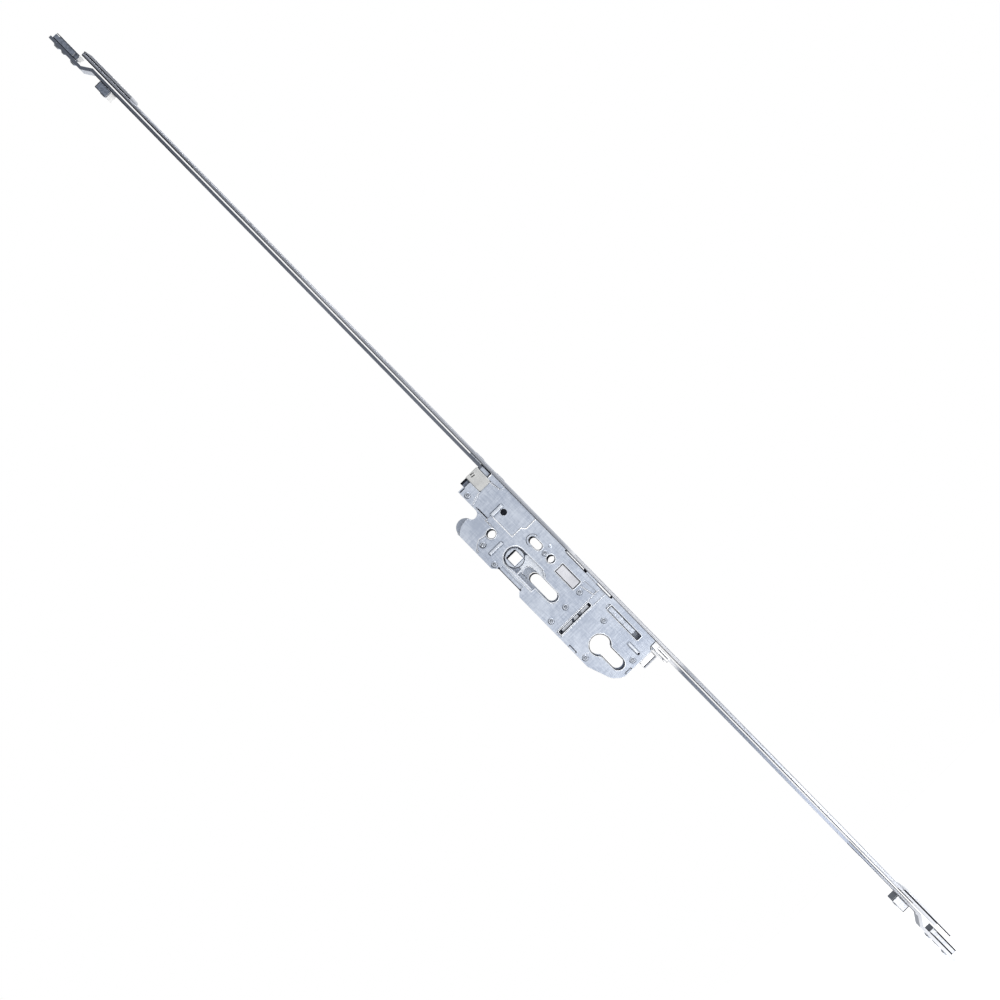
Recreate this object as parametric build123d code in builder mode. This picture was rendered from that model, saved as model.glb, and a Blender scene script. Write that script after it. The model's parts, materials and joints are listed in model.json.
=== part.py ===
from build123d import *
import math
import os

# Rod driving panic exit lock for a double door.
# Lengths are millimetres. The origin is the spindle axis at the middle of the case's thickness.
# +Z runs up the door, +X out through the faceplate, and the cover faces -Y.

# Faceplate
BACKSET = 35.0
FACE_THICK = 3.0
FACE_WIDTH = 16.0
FACE_TOP = 500.0
FACE_LENGTH = 920.0
FACE_EDGE = 0.7
BULGE_RADIUS = 4.5
BULGE_HEIGHT = 0.5
BULGE_PLACES = (51.2, 73.2)

# End plates on the faceplate's front
PLATE_LENGTH = 50.0
PLATE_THICK = 2.3
PLATE_NOSE = 0.8
PLATE_RAMP = 7.0
PLATE_TAIL = 1.0
UPPER_PLATE_RISE = 0.2
LOWER_PLATE_LAP = 36.2
PLATE_HOLE_TOP = 10.6
PLATE_HOLE_FOOT = 5.3

# Case, made of a folded tray and a flat cover
CASE_THICK = 15.0
SHEET = 1.5
REAR_X = -18.2
CASE_TOP = 69.0
CASE_BOTTOM = -122.1
COVER_TOP = 57.3
FIELD_DEPTH = 0.4
CHANNEL_DEPTH = 0.25
LOBE_RISE = 0.35
RIB_RISE = 0.5
RIB_BEVEL = 0.25
TAB_SINK = 0.2

# Handle and cylinder openings
SPINDLE = 9.0
HUB_RADIUS = 7.8
HUB_PROUD = 0.4
HUB_BEVEL = 0.4
CYLINDER_DROP = 92.0
CYLINDER_RADIUS = 8.6
CYLINDER_LOBE = 10.2
CYLINDER_HEIGHT = 33.2
CAM_SWEEP = 15.4
HANDLE_HOLE_RISE = 25.5
HANDLE_HOLE_RADIUS = 3.8
SIDE_HOLE_RADIUS = 3.4
SIDE_HOLE_X = 18.9
SIDE_HOLE_Z = -19.5
PASSAGE_WIDTH = 8.5
PASSAGE_TOP = -17.6
PASSAGE_BOTTOM = -44.9
FRONT_SLOT_WIDTH = 6.4
FRONT_SLOT_TOP = 3.4
FRONT_SLOT_BOTTOM = -9.3

# Drive
ROD_STROKE = 20.0
HUB_TURN = 45.0
FINGER_RADIUS = 9.3
FINGER_NOSE = 1.4
FINGER_STALK = 1.6
FINGER_BODY = 7.0
SLIDE_THICK = 2.4
RACK_THICK = 3.0
LARGE_GEAR_TEETH = 18
LARGE_GEAR_MODULE = 1.0
LARGE_ADDENDUM = 0.9
LARGE_DEDENDUM = 1.2
SMALL_GEAR_TEETH = 8
SMALL_GEAR_MODULE = 0.8
SMALL_ADDENDUM = 0.55
SMALL_DEDENDUM = 0.85
PRESSURE_ANGLE = 30.0
TOOTH_SLACK = 0.06
PINION_X = 17.0
PINION_Z = -52.5
PINION_PIN_RADIUS = 1.4
PINION_COLLAR = 2.9

# Rods
ROD_THICK = 2.5
ROD_WIDTH = 10.0
ROD_GAP = 1.0
ROD_JOGGLE = 5.0
JOGGLE_RUN = 7.6
JOGGLE_EASE = 1.0
JOGGLE_INSET = 12.0
UPPER_TONGUE = 40.2
LOWER_TONGUE = 43.1
UPPER_ROD_LAP = 11.0
LOWER_ROD_LAP = 1.1

# Couplings and guides on the rods
COUPLING_INSET = 13.8
COUPLING_LENGTH = 24.4
COUPLING_HEIGHT = 4.9
COUPLING_STEP = 1.1
COUPLING_PIN = 1.6
GUIDE_INSET = 17.2
GUIDE_LENGTH = 12.4
GUIDE_DEPTH = 6.2
GUIDE_WIDTH = 12.0
GUIDE_PIN = 1.5

# Rivets and screws
POST_RADIUS = 1.7
POST_HEAD = 2.4
LEVER_PIN_RADIUS = 1.8
HEAD_RISE = 0.5
HEAD_SLOPE = 0.8
DISH_RADIUS = 1.2
DISH_DEPTH = 0.4
SCREW_RADIUS = 1.6
SCREW_HEAD = 3.2
SCREW_SOCKET = 1.7
FACE_SCREWS = (-34.0, -59.2)

# Sides that stand for the round of small fasteners and of the holes they fill
RIVET_SIDES = 16
SCREW_SIDES = 24

# Clearances
RUN_GAP = 0.3
PIN_GAP = 0.05
EASE = 0.1

# Worked out from the sizes above
face_back = BACKSET - FACE_THICK
face_bottom = FACE_TOP - FACE_LENGTH
upper_plate_top = FACE_TOP + UPPER_PLATE_RISE
lower_plate_top = face_bottom + LOWER_PLATE_LAP
head_depth = SCREW_HEAD - SCREW_RADIUS
half_case = CASE_THICK / 2
inner_half = half_case - SHEET
rod_front = face_back - ROD_GAP
rod_back = rod_front - ROD_THICK
tongue_front = rod_front - ROD_JOGGLE
tongue_back = rod_back - ROD_JOGGLE
upper_joggle = FACE_TOP - JOGGLE_INSET
lower_joggle = face_bottom + JOGGLE_INSET
upper_foot = CASE_TOP - UPPER_ROD_LAP
lower_head = CASE_BOTTOM + LOWER_ROD_LAP
large_pitch = LARGE_GEAR_TEETH * LARGE_GEAR_MODULE / 2
small_pitch = SMALL_GEAR_TEETH * SMALL_GEAR_MODULE / 2
hub_slide_travel = ROD_STROKE * small_pitch / large_pitch
cylinder_z = -CYLINDER_DROP

# Levels across the case, counted from the cover's inner face
flange_back = -inner_half + 0.4
slide_front = flange_back + RUN_GAP
slide_back = slide_front + SLIDE_THICK
rack_front = slide_back + RUN_GAP
rack_back = rack_front + RACK_THICK
deep_front = rack_back + RUN_GAP
deep_back = deep_front + RACK_THICK

os.makedirs("parts", exist_ok=True)


def level(y):
    """The plane at depth y that faces the cover side; an extrusion from it runs towards the cover."""
    return Plane.XZ.offset(-y)


def facing(x):
    """The plane at x that looks out of the faceplate; its own x runs along +Y and its y along +Z."""
    return Plane((x, 0, 0), x_dir=(0, 1, 0), z_dir=(1, 0, 0))


def outward(x, y, z):
    """The plane at a point whose normal points out of the cover."""
    return Plane((x, y, z), x_dir=(1, 0, 0), z_dir=(0, -1, 0))


def involute(angle):
    """The involute function of an angle in radians."""
    return math.tan(angle) - angle


def gear_points(teeth, module, addendum, dedendum):
    """Corners of a gear's outline, with one tooth centred on the local x axis."""
    pitch_radius = teeth * module / 2
    base_radius = pitch_radius * math.cos(math.radians(PRESSURE_ANGLE))
    root_radius = pitch_radius - dedendum
    radii = [root_radius, max(base_radius, root_radius) + 0.01, pitch_radius, pitch_radius + addendum]
    half_at_pitch = math.pi / (2 * teeth) - TOOTH_SLACK / pitch_radius
    flank = []
    for radius in radii:
        roll = math.acos(min(1.0, base_radius / radius))
        half = half_at_pitch + involute(math.radians(PRESSURE_ANGLE)) - involute(roll)
        flank.append((radius, half))
    points = []
    for tooth in range(teeth):
        centre = 2 * math.pi * tooth / teeth
        for radius, half in flank:
            points.append((radius * math.cos(centre - half), radius * math.sin(centre - half)))
        for radius, half in reversed(flank):
            points.append((radius * math.cos(centre + half), radius * math.sin(centre + half)))
    return points


def rack_points(pitch_x, towards, low_z, high_z, module, addendum, dedendum):
    """A rack's toothed edge from low_z to high_z, with a gap level with the pinion's axis."""
    pitch = math.pi * module
    slope = math.tan(math.radians(PRESSURE_ANGLE))
    half = pitch / 4 - TOOTH_SLACK
    tip = pitch_x + towards * addendum
    root = pitch_x - towards * dedendum
    first = math.ceil((low_z + pitch / 2 - PINION_Z) / pitch - 0.5)
    points = [(root, low_z)]
    centre = PINION_Z + (first + 0.5) * pitch
    while centre + pitch / 2 < high_z:
        points.append((root, centre - half - dedendum * slope))
        points.append((tip, centre - half + addendum * slope))
        points.append((tip, centre + half - addendum * slope))
        points.append((root, centre + half + dedendum * slope))
        centre += pitch
    points.append((root, high_z))
    return points


def upright_slot(centre_x, top, bottom, width):
    """A slot with round ends, along Z, in the open sketch."""
    with Locations((centre_x, (top + bottom) / 2)):
        SlotOverall(top - bottom, width, rotation=90)


def upright_box(front, rear, top, bottom):
    """A rectangle between two depths from the faceplate and two heights, in the open sketch."""
    with Locations(((front + rear) / 2, (top + bottom) / 2)):
        Rectangle(front - rear, top - bottom)


def passages():
    """The openings that go through the whole case, in the open sketch."""
    with Locations((0, HANDLE_HOLE_RISE)):
        Circle(HANDLE_HOLE_RADIUS)
    with Locations((SIDE_HOLE_X, SIDE_HOLE_Z)):
        Circle(SIDE_HOLE_RADIUS)
    upright_slot(SIDE_HOLE_X, FRONT_SLOT_TOP, FRONT_SLOT_BOTTOM, FRONT_SLOT_WIDTH)
    with Locations((0, cylinder_z)):
        Circle(CYLINDER_RADIUS)
    lobe_bottom = cylinder_z + CYLINDER_RADIUS - CYLINDER_HEIGHT
    upright_slot(0, cylinder_z, lobe_bottom, CYLINDER_LOBE)


def dished_rivet(front, length, shank, head):
    """A rivet along Y whose rolled head stands on the surface at front, dished in the middle."""
    with BuildPart() as made:
        with BuildSketch(level(front)):
            RegularPolygon(shank, RIVET_SIDES)
        extrude(amount=-length)
        with BuildSketch(level(front)):
            RegularPolygon(head, RIVET_SIDES)
        extrude(amount=HEAD_RISE)
        chamfer(made.faces().sort_by(Axis.Y)[0].edges(), HEAD_SLOPE * HEAD_RISE)
        with BuildSketch(level(front - HEAD_RISE)):
            RegularPolygon(DISH_RADIUS, RIVET_SIDES)
        extrude(amount=-DISH_DEPTH, mode=Mode.SUBTRACT)
    return made


def headed_rivet(back, length, shank, head, rise):
    """A rivet along X with a low head behind the surface at back."""
    with BuildPart() as made:
        with BuildSketch(facing(back)):
            RegularPolygon(shank, RIVET_SIDES)
        extrude(amount=length)
        with BuildSketch(facing(back)):
            RegularPolygon(head, RIVET_SIDES)
        extrude(amount=-rise)
        chamfer(made.faces().sort_by(Axis.X)[0].edges(), HEAD_SLOPE * rise)
    return made


def screw_form(front, length, gap):
    """A countersunk screw's form along X with its head at front, or its hole where gap is larger."""
    with BuildPart() as made:
        with BuildSketch(facing(front)):
            RegularPolygon(SCREW_HEAD + gap, SCREW_SIDES)
        extrude(amount=-head_depth - EASE)
        chamfer(made.faces().sort_by(Axis.X)[0].edges(), head_depth)
        with BuildSketch(facing(front)):
            RegularPolygon(SCREW_RADIUS + gap, SCREW_SIDES)
        extrude(amount=-length)
    return made


def at_heights(heights):
    """Places on the middle of the width at each height."""
    return [(0, 0, height) for height in heights]


# Outlines of the case
WAIST_TOP = 6.6
WAIST_BOTTOM = -23.7
WAIST_DEPTH = 3.8
WAIST_SLOPE = 4.2
SHOULDER_Z = 41.0
HEEL_TOP = -97.1
HEEL_CORNER = (-11.4, -116.0)
HEEL_END = -4.5
HEEL_ROUND = 9.0
DRIVER_SIDE = 24.6
DRIVER_NOTCH = 2.6
DRIVER_SLOPE = 1.4
NOTCH_START = (4.2, 46.6)
NOTCH_DEEP = (0.0, 42.5)
NOTCH_END = (-4.5, 46.0)
COVER_LOBE = (-12.1, 45.2)
TRAY_LOBE = (-10.4, 49.7)
CLIP_FRONT = 27.6
CLIP_REAR = 15.9
CLIP_BOTTOM = 53.9
BLOCK_REAR = 9.8
BLOCK_BOTTOM = 64.5
UPPER_TOP = 65.6


def lower_outline():
    """The rear and bottom edges that tray and cover share, from the rear shoulder round to the front edge."""
    return [
        (REAR_X, SHOULDER_Z),
        (REAR_X, WAIST_TOP),
        (REAR_X + WAIST_DEPTH, WAIST_TOP - WAIST_SLOPE),
        (REAR_X + WAIST_DEPTH, WAIST_BOTTOM + WAIST_DEPTH),
        (REAR_X, WAIST_BOTTOM),
        (REAR_X, HEEL_TOP),
        HEEL_CORNER,
        (HEEL_END, CASE_BOTTOM),
        (DRIVER_SIDE, CASE_BOTTOM),
        (DRIVER_SIDE + DRIVER_SLOPE, CASE_BOTTOM + DRIVER_NOTCH),
        (face_back, CASE_BOTTOM + DRIVER_NOTCH),
    ]


# The cover's edge
with BuildSketch() as cover_outline:
    with BuildLine():
        Polyline(
            (face_back, CASE_BOTTOM + DRIVER_NOTCH),
            (face_back, COVER_TOP),
            (CLIP_FRONT, COVER_TOP),
            (CLIP_FRONT, CLIP_BOTTOM),
            (CLIP_REAR, CLIP_BOTTOM),
            (CLIP_REAR, BLOCK_BOTTOM),
            (BLOCK_REAR, BLOCK_BOTTOM),
            (BLOCK_REAR, UPPER_TOP),
            (NOTCH_START[0], UPPER_TOP),
            NOTCH_START,
        )
        ThreePointArc(NOTCH_START, NOTCH_DEEP, NOTCH_END)
        ThreePointArc(NOTCH_END, COVER_LOBE, (REAR_X, SHOULDER_Z))
        Polyline(*lower_outline())
    make_face()
    heel_edges = cover_outline.vertices().sort_by_distance((HEEL_CORNER[0], HEEL_CORNER[1], 0))[0]
    fillet(heel_edges, HEEL_ROUND)
    heel_edges = cover_outline.vertices().sort_by_distance((HEEL_END, CASE_BOTTOM, 0))[0]
    fillet(heel_edges, HEEL_ROUND)


# The tray's edge, whose nose reaches out past the cover
with BuildSketch() as tray_outline:
    with BuildLine():
        Polyline(
            (face_back, CASE_BOTTOM + DRIVER_NOTCH),
            (face_back, CASE_TOP),
            (BLOCK_REAR, CASE_TOP),
            (BLOCK_REAR, UPPER_TOP),
            (NOTCH_START[0], UPPER_TOP),
            NOTCH_START,
        )
        ThreePointArc(NOTCH_START, NOTCH_DEEP, NOTCH_END)
        ThreePointArc(NOTCH_END, TRAY_LOBE, (REAR_X, SHOULDER_Z))
        Polyline(*lower_outline())
    make_face()
    heel_edges = tray_outline.vertices().sort_by_distance((HEEL_CORNER[0], HEEL_CORNER[1], 0))[0]
    fillet(heel_edges, HEEL_ROUND)
    heel_edges = tray_outline.vertices().sort_by_distance((HEEL_END, CASE_BOTTOM, 0))[0]
    fillet(heel_edges, HEEL_ROUND)

# Places of the posts that hold the cover to the tray, and of the short rivets in the cover alone
post_places = [
    (7.6, 58.8),
    (-10.2, 24.0),
    (-14.4, 7.3),
    (SIDE_HOLE_X, SIDE_HOLE_Z + 6.3),
    (-13.6, -53.2),
    (9.8, -117.2),
]
short_rivet_places = [(15.1, -80.5), (-14.6, -91.1)]
LEVER_PIN_PLACE = (1.5, -53.2)

# Tabs of the tray's walls that stand up through notches in the cover
FRONT_TABS = [(-23.7, -44.1), (-45.6, -71.9)]
FRONT_NOTCH_MARGIN = 1.0
SIDE_TAB = (-76.3, -82.7)
FOOT_TAB = (4.6, -0.5)
TAB_GAP = 0.4
NOSE_CUT = (-11.0, 49.5, 15.0, 12.0)
SPRING_SEAT_TOP = -51.3
SPRING_SEAT_THICK = 1.0

# The return spring under the hub slide's rear leg
LEG_WALL = 1.25
LEG_FRONT = -7.3
LEG_FOOT = -40.0
SPRING_COIL = 1.35
SPRING_WIRE = 0.25
SPRING_TURNS = 4
notch_floor = -(FINGER_RADIUS + FINGER_NOSE + 0.25)
leg_rear = notch_floor - LEG_WALL
spring_x = (leg_rear + LEG_FRONT) / 2
spring_y = (slide_front + slide_back) / 2

with BuildPart() as case_base:
    with BuildSketch(level(half_case)):
        add(tray_outline.sketch)
    extrude(amount=CASE_THICK - SHEET)
    with BuildSketch(level(inner_half)):
        add(tray_outline.sketch)
        offset(amount=-SHEET, kind=Kind.ARC, mode=Mode.REPLACE)
    extrude(amount=CASE_THICK, mode=Mode.SUBTRACT)
    # The front edge stands open between the two tabs that carry the faceplate
    with BuildSketch(level(inner_half)):
        upright_box(face_back + SHEET, face_back - 1.1 * SHEET, 2 * CASE_TOP, 2 * CASE_BOTTOM)
        for tab_top, tab_bottom in FRONT_TABS:
            with Locations((face_back, (tab_top + tab_bottom) / 2)):
                Rectangle(4 * SHEET, tab_top - tab_bottom, mode=Mode.SUBTRACT)
    extrude(amount=CASE_THICK, mode=Mode.SUBTRACT)
    # Ways out for both rods, and the nose left as a bare plate
    with BuildSketch(level(inner_half)):
        upright_box(face_back + SHEET, BLOCK_REAR, CASE_TOP + SHEET, BLOCK_BOTTOM)
        upright_box(face_back + SHEET, DRIVER_SIDE - 1.0, CASE_BOTTOM + 6.0, CASE_BOTTOM - SHEET)
        with Locations(NOSE_CUT[:2]):
            Rectangle(*NOSE_CUT[2:])
    extrude(amount=CASE_THICK, mode=Mode.SUBTRACT)
    # Wall tabs that reach up through the cover's notches
    with BuildSketch(level(-inner_half)):
        for tab_top, tab_bottom in FRONT_TABS:
            upright_box(face_back, face_back - SHEET, tab_top, tab_bottom)
        upright_box(REAR_X + SHEET, REAR_X, *SIDE_TAB)
        upright_box(*FOOT_TAB, CASE_BOTTOM + SHEET, CASE_BOTTOM)
    extrude(amount=SHEET - TAB_SINK)
    # The lanced seat of the return spring
    with BuildSketch(level(inner_half)):
        seat_half = SPRING_COIL + SPRING_WIRE
        seat_bottom = SPRING_SEAT_TOP - SPRING_SEAT_THICK
        upright_box(spring_x + seat_half, spring_x - seat_half, SPRING_SEAT_TOP, seat_bottom)
    extrude(amount=inner_half - slide_front)
    with BuildSketch(level(half_case)):
        passages()
        upright_slot(0, PASSAGE_TOP, PASSAGE_BOTTOM, PASSAGE_WIDTH)
        Circle(HUB_RADIUS + PIN_GAP)
    extrude(amount=CASE_THICK, mode=Mode.SUBTRACT)
    with BuildSketch(level(half_case)):
        with Locations(*post_places):
            RegularPolygon(POST_RADIUS + PIN_GAP, RIVET_SIDES)
        with Locations(LEVER_PIN_PLACE):
            RegularPolygon(LEVER_PIN_RADIUS + PIN_GAP, RIVET_SIDES)
        with Locations((PINION_X, PINION_Z)):
            RegularPolygon(PINION_PIN_RADIUS + PIN_GAP, RIVET_SIDES)
    extrude(amount=SHEET, mode=Mode.SUBTRACT)
    with BuildSketch(facing(face_back)):
        with Locations(*[(0, screw_z) for screw_z in FACE_SCREWS]):
            RegularPolygon(SCREW_RADIUS + PIN_GAP, SCREW_SIDES)
    extrude(amount=-2 * SHEET, mode=Mode.SUBTRACT)

# The return spring, a coil along Z between the slide's leg and its seat
with BuildPart() as hub_spring:
    spring_run = LEG_FOOT - SPRING_SEAT_TOP - 2 * SPRING_WIRE - 2 * EASE
    with BuildLine(Plane((spring_x, spring_y, SPRING_SEAT_TOP + SPRING_WIRE + EASE))) as coil:
        Helix(pitch=spring_run / SPRING_TURNS, height=spring_run, radius=SPRING_COIL)
    with BuildSketch(Plane(coil.line @ 0, z_dir=coil.line % 0)):
        Rectangle(2 * SPRING_WIRE, 2 * SPRING_WIRE)
    sweep(path=coil.line, is_frenet=True)

# The cover's pressed fields and openings
WINDOW_TOP = -28.1
WINDOW_BOTTOM = -47.9
WINDOW_FRONT = 23.1
WINDOW_REAR = 14.5
CROSS_SLOT_TOP = -62.7
CROSS_SLOT_BOTTOM = -66.1
CROSS_SLOT_FRONT = 16.3
CROSS_SLOT_REAR = -15.5
CHANNEL_MARGIN = 1.1
CHANNEL_FRONT = 29.5
CHANNEL_REAR = -16.8
LONG_SLOT_FRONT = 27.25
LONG_SLOT_REAR = 22.3
LONG_SLOT_TOP = -76.4
LONG_SLOT_BOTTOM = -109.2
LONG_POCKET_TOP = -73.6
LONG_POCKET_DEPTH = 0.6
HUB_VIEW_GAP = 0.8
LEVER_VIEW_FRONT_END = -21.4
LEVER_VIEW_REAR_END = -26.5
PASSAGE_VIEW = 1.1
BLIND_HOLE = (18.2, 30.6)
BLIND_HOLE_RADIUS = 2.6
RIM_WIDTH = 1.4
RIM_RISE = 0.45
SLIT_WIDTH = 0.5
SLIT_DEPTH = 0.9
NUB_PLACE = (25.2, -12.3)
NUB_RADIUS = 1.5
FIELD_REAR = 9.5
FIELD_FOOT = 12.6
FIELD_STEP = (18.9, 21.2)
SLIT_FRONT = 6.1
SLIT_REAR = 4.2
WAIST_FIELD = 3.4
rib_places = [(15.4, 35.2, 11.6, 2.9, 0), (-5.1, 15.1, 13.2, 2.7, 0), (16.3, -111.1, 11.4, 2.3, 90)]
hub_view = HUB_RADIUS + HUB_VIEW_GAP
passage_view = PASSAGE_WIDTH / 2 + PASSAGE_VIEW

with BuildPart() as case_cover:
    with BuildSketch(level(-inner_half)):
        add(cover_outline.sketch)
    extrude(amount=SHEET)
    # The lobe at the upper rear, raised and bounded by a curve round a rivet
    with BuildSketch(level(-half_case)):
        with BuildLine():
            Polyline(
                (-9.8, 29.0),
                (-4.5, 28.0),
                (0.0, HANDLE_HOLE_RISE),
                (SLIT_REAR - SLIT_WIDTH, HANDLE_HOLE_RISE),
                (SLIT_REAR - SLIT_WIDTH, NOTCH_DEEP[1] + SHEET),
                (REAR_X - SHEET, NOTCH_DEEP[1] + CASE_THICK),
                (REAR_X - SHEET, 20.5),
            )
            ThreePointArc((REAR_X - SHEET, 20.5), (-14.0, 26.6), (-9.8, 29.0))
        make_face()
        add(cover_outline.sketch, mode=Mode.INTERSECT)
    extrude(amount=LOBE_RISE)
    # Fields pressed in from the outside
    with BuildSketch(level(-half_case)):
        with BuildLine():
            Polyline(
                (face_back, 43.7),
                (face_back, 9.6),
                (FIELD_STEP[1], 9.6),
                (FIELD_STEP[0], FIELD_FOOT),
                (FIELD_REAR, FIELD_FOOT),
                (FIELD_REAR, 35.4),
                (SLIT_FRONT, 35.4),
                (SLIT_FRONT, 46.3),
                (NOTCH_START[0], NOTCH_START[1]),
                (NOTCH_START[0], 49.7),
                (7.6, 50.5),
                (CLIP_REAR, CLIP_BOTTOM),
                (CLIP_FRONT, CLIP_BOTTOM),
                (28.8, 43.7),
                close=True,
            )
        make_face()
        with BuildLine():
            Polyline((25.7, -48.9), (26.5, -61.5), (22.9, -61.5), (21.9, -58.5), (20.8, -49.3), close=True)
        make_face()
        waist_x = REAR_X + WAIST_DEPTH + WAIST_FIELD
        upright_box(waist_x, REAR_X, WAIST_TOP - WAIST_SLOPE, WAIST_BOTTOM + WAIST_DEPTH)
    extrude(amount=-FIELD_DEPTH, mode=Mode.SUBTRACT)
    # The shallow channel across the case at the cross slot
    with BuildSketch(level(-half_case)):
        channel_top = CROSS_SLOT_TOP + CHANNEL_MARGIN
        upright_box(CHANNEL_FRONT, CHANNEL_REAR, channel_top, CROSS_SLOT_BOTTOM - CHANNEL_MARGIN)
    extrude(amount=-CHANNEL_DEPTH, mode=Mode.SUBTRACT)
    # Raised ribs, and the half rim round the front slot's upper end
    for rib_x, rib_z, rib_length, rib_width, rib_turn in rib_places:
        with BuildSketch(level(-half_case + FIELD_DEPTH)):
            with Locations((rib_x, rib_z)):
                Rectangle(rib_length, rib_width, rotation=rib_turn)
        extrude(amount=RIB_RISE + FIELD_DEPTH)
    chamfer(case_cover.edges().group_by(Axis.Y)[0], RIB_BEVEL)
    rim_z = FRONT_SLOT_TOP - FRONT_SLOT_WIDTH / 2
    with BuildSketch(level(-half_case)):
        with Locations((SIDE_HOLE_X, rim_z)):
            Circle(FRONT_SLOT_WIDTH / 2 + RIM_WIDTH)
        upright_box(SIDE_HOLE_X + CASE_THICK / 2, SIDE_HOLE_X, rim_z + CASE_THICK, rim_z)
        upright_box(SIDE_HOLE_X, SIDE_HOLE_X - CASE_THICK / 2, rim_z + CASE_THICK, rim_z)
        with Locations((SIDE_HOLE_X, rim_z)):
            Circle(FRONT_SLOT_WIDTH / 2 + RIM_WIDTH, mode=Mode.INTERSECT)
    extrude(amount=RIM_RISE)
    with Locations(outward(NUB_PLACE[0], -half_case, NUB_PLACE[1])):
        Cone(NUB_RADIUS, NUB_RADIUS / 2, RIM_RISE, align=(Align.CENTER, Align.CENTER, Align.MIN))
    # Openings
    with BuildSketch(level(-inner_half)):
        passages()
        upright_slot(0, PASSAGE_TOP + PASSAGE_VIEW, PASSAGE_BOTTOM - PASSAGE_VIEW, 2 * passage_view)
        Circle(hub_view)
        with BuildLine():
            Polyline(
                (hub_view, LEVER_VIEW_FRONT_END),
                (hub_view, 0),
                (-hub_view, 0),
                (-hub_view, LEVER_VIEW_REAR_END),
                (-passage_view, LEVER_VIEW_REAR_END - 1.0),
                (passage_view, LEVER_VIEW_REAR_END - 1.0),
            )
            ThreePointArc(
                (passage_view, LEVER_VIEW_REAR_END - 1.0),
                (hub_view - 0.9, LEVER_VIEW_FRONT_END - 3.6),
                (hub_view, LEVER_VIEW_FRONT_END),
            )
        make_face()
        upright_box(WINDOW_FRONT, WINDOW_REAR, WINDOW_TOP, WINDOW_BOTTOM)
        upright_box(CROSS_SLOT_FRONT, CROSS_SLOT_REAR, CROSS_SLOT_TOP, CROSS_SLOT_BOTTOM)
        upright_box(LONG_SLOT_FRONT, LONG_SLOT_REAR, LONG_SLOT_TOP, LONG_SLOT_BOTTOM)
        with Locations(BLIND_HOLE):
            Circle(BLIND_HOLE_RADIUS)
        with Locations(*post_places, *short_rivet_places):
            RegularPolygon(POST_RADIUS + PIN_GAP, RIVET_SIDES)
        with Locations(LEVER_PIN_PLACE):
            RegularPolygon(LEVER_PIN_RADIUS + PIN_GAP, RIVET_SIDES)
        with Locations((PINION_X, PINION_Z)):
            RegularPolygon(PINION_PIN_RADIUS + PIN_GAP, RIVET_SIDES)
        # Notches for the tray's tabs
        notch_top = FRONT_TABS[0][0] + TAB_GAP
        notch_bottom = FRONT_TABS[-1][1] - FRONT_NOTCH_MARGIN
        upright_box(face_back + SHEET, face_back - SHEET - RUN_GAP, notch_top, notch_bottom)
        upright_box(REAR_X + SHEET + RUN_GAP, REAR_X - SHEET, SIDE_TAB[0] + TAB_GAP, SIDE_TAB[1] - TAB_GAP)
        upright_box(
            FOOT_TAB[0] + TAB_GAP,
            FOOT_TAB[1] - TAB_GAP,
            CASE_BOTTOM + SHEET + RUN_GAP,
            CASE_BOTTOM - SHEET,
        )
    extrude(amount=2 * SHEET, mode=Mode.SUBTRACT)
    # The long slot's round pocket, the cut line over the lobe and the dark dot at the lower rib's end
    with BuildSketch(level(-half_case)):
        upright_slot(
            (LONG_SLOT_FRONT + LONG_SLOT_REAR) / 2,
            LONG_POCKET_TOP,
            LONG_POCKET_TOP - 2 * (LONG_SLOT_FRONT - LONG_SLOT_REAR),
            LONG_SLOT_FRONT - LONG_SLOT_REAR,
        )
    extrude(amount=-LONG_POCKET_DEPTH, mode=Mode.SUBTRACT)
    with BuildSketch(level(-half_case - LOBE_RISE)):
        upright_box(SLIT_FRONT, SLIT_FRONT - SLIT_WIDTH, NOTCH_START[1] + SHEET, 35.4)
        upright_box(SLIT_REAR, SLIT_REAR - SLIT_WIDTH, 35.8, HANDLE_HOLE_RISE)
    extrude(amount=-SLIT_DEPTH - LOBE_RISE, mode=Mode.SUBTRACT)

# The hub, with a finger at its back that reaches into the hub slide
finger_angle = 180 - HUB_TURN / 2

with BuildPart() as hub:
    with BuildSketch(level(half_case + HUB_PROUD)):
        Circle(HUB_RADIUS)
    extrude(amount=CASE_THICK + 2 * HUB_PROUD)
    chamfer(hub.edges().filter_by(GeomType.CIRCLE), HUB_BEVEL)
    with BuildSketch(level(slide_back + RUN_GAP / 2)):
        Circle(HUB_RADIUS + 1)
        Circle(FINGER_BODY, mode=Mode.SUBTRACT)
    extrude(amount=slide_back - slide_front + RUN_GAP, mode=Mode.SUBTRACT)
    with BuildSketch(level(slide_back)):
        with Locations(Location((0, 0), finger_angle)):
            with Locations((FINGER_RADIUS / 2, 0)):
                Rectangle(FINGER_RADIUS, FINGER_STALK)
            with Locations((FINGER_RADIUS, 0)):
                Circle(FINGER_NOSE)
    extrude(amount=slide_back - slide_front)
    with BuildSketch(level(half_case + HUB_PROUD)):
        Rectangle(SPINDLE, SPINDLE)
    extrude(amount=CASE_THICK + 2 * HUB_PROUD, mode=Mode.SUBTRACT)
    square_edges = hub.edges().filter_by(GeomType.LINE).group_by(Axis.Y)
    chamfer(square_edges[0] + square_edges[-1], HUB_BEVEL)

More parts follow.
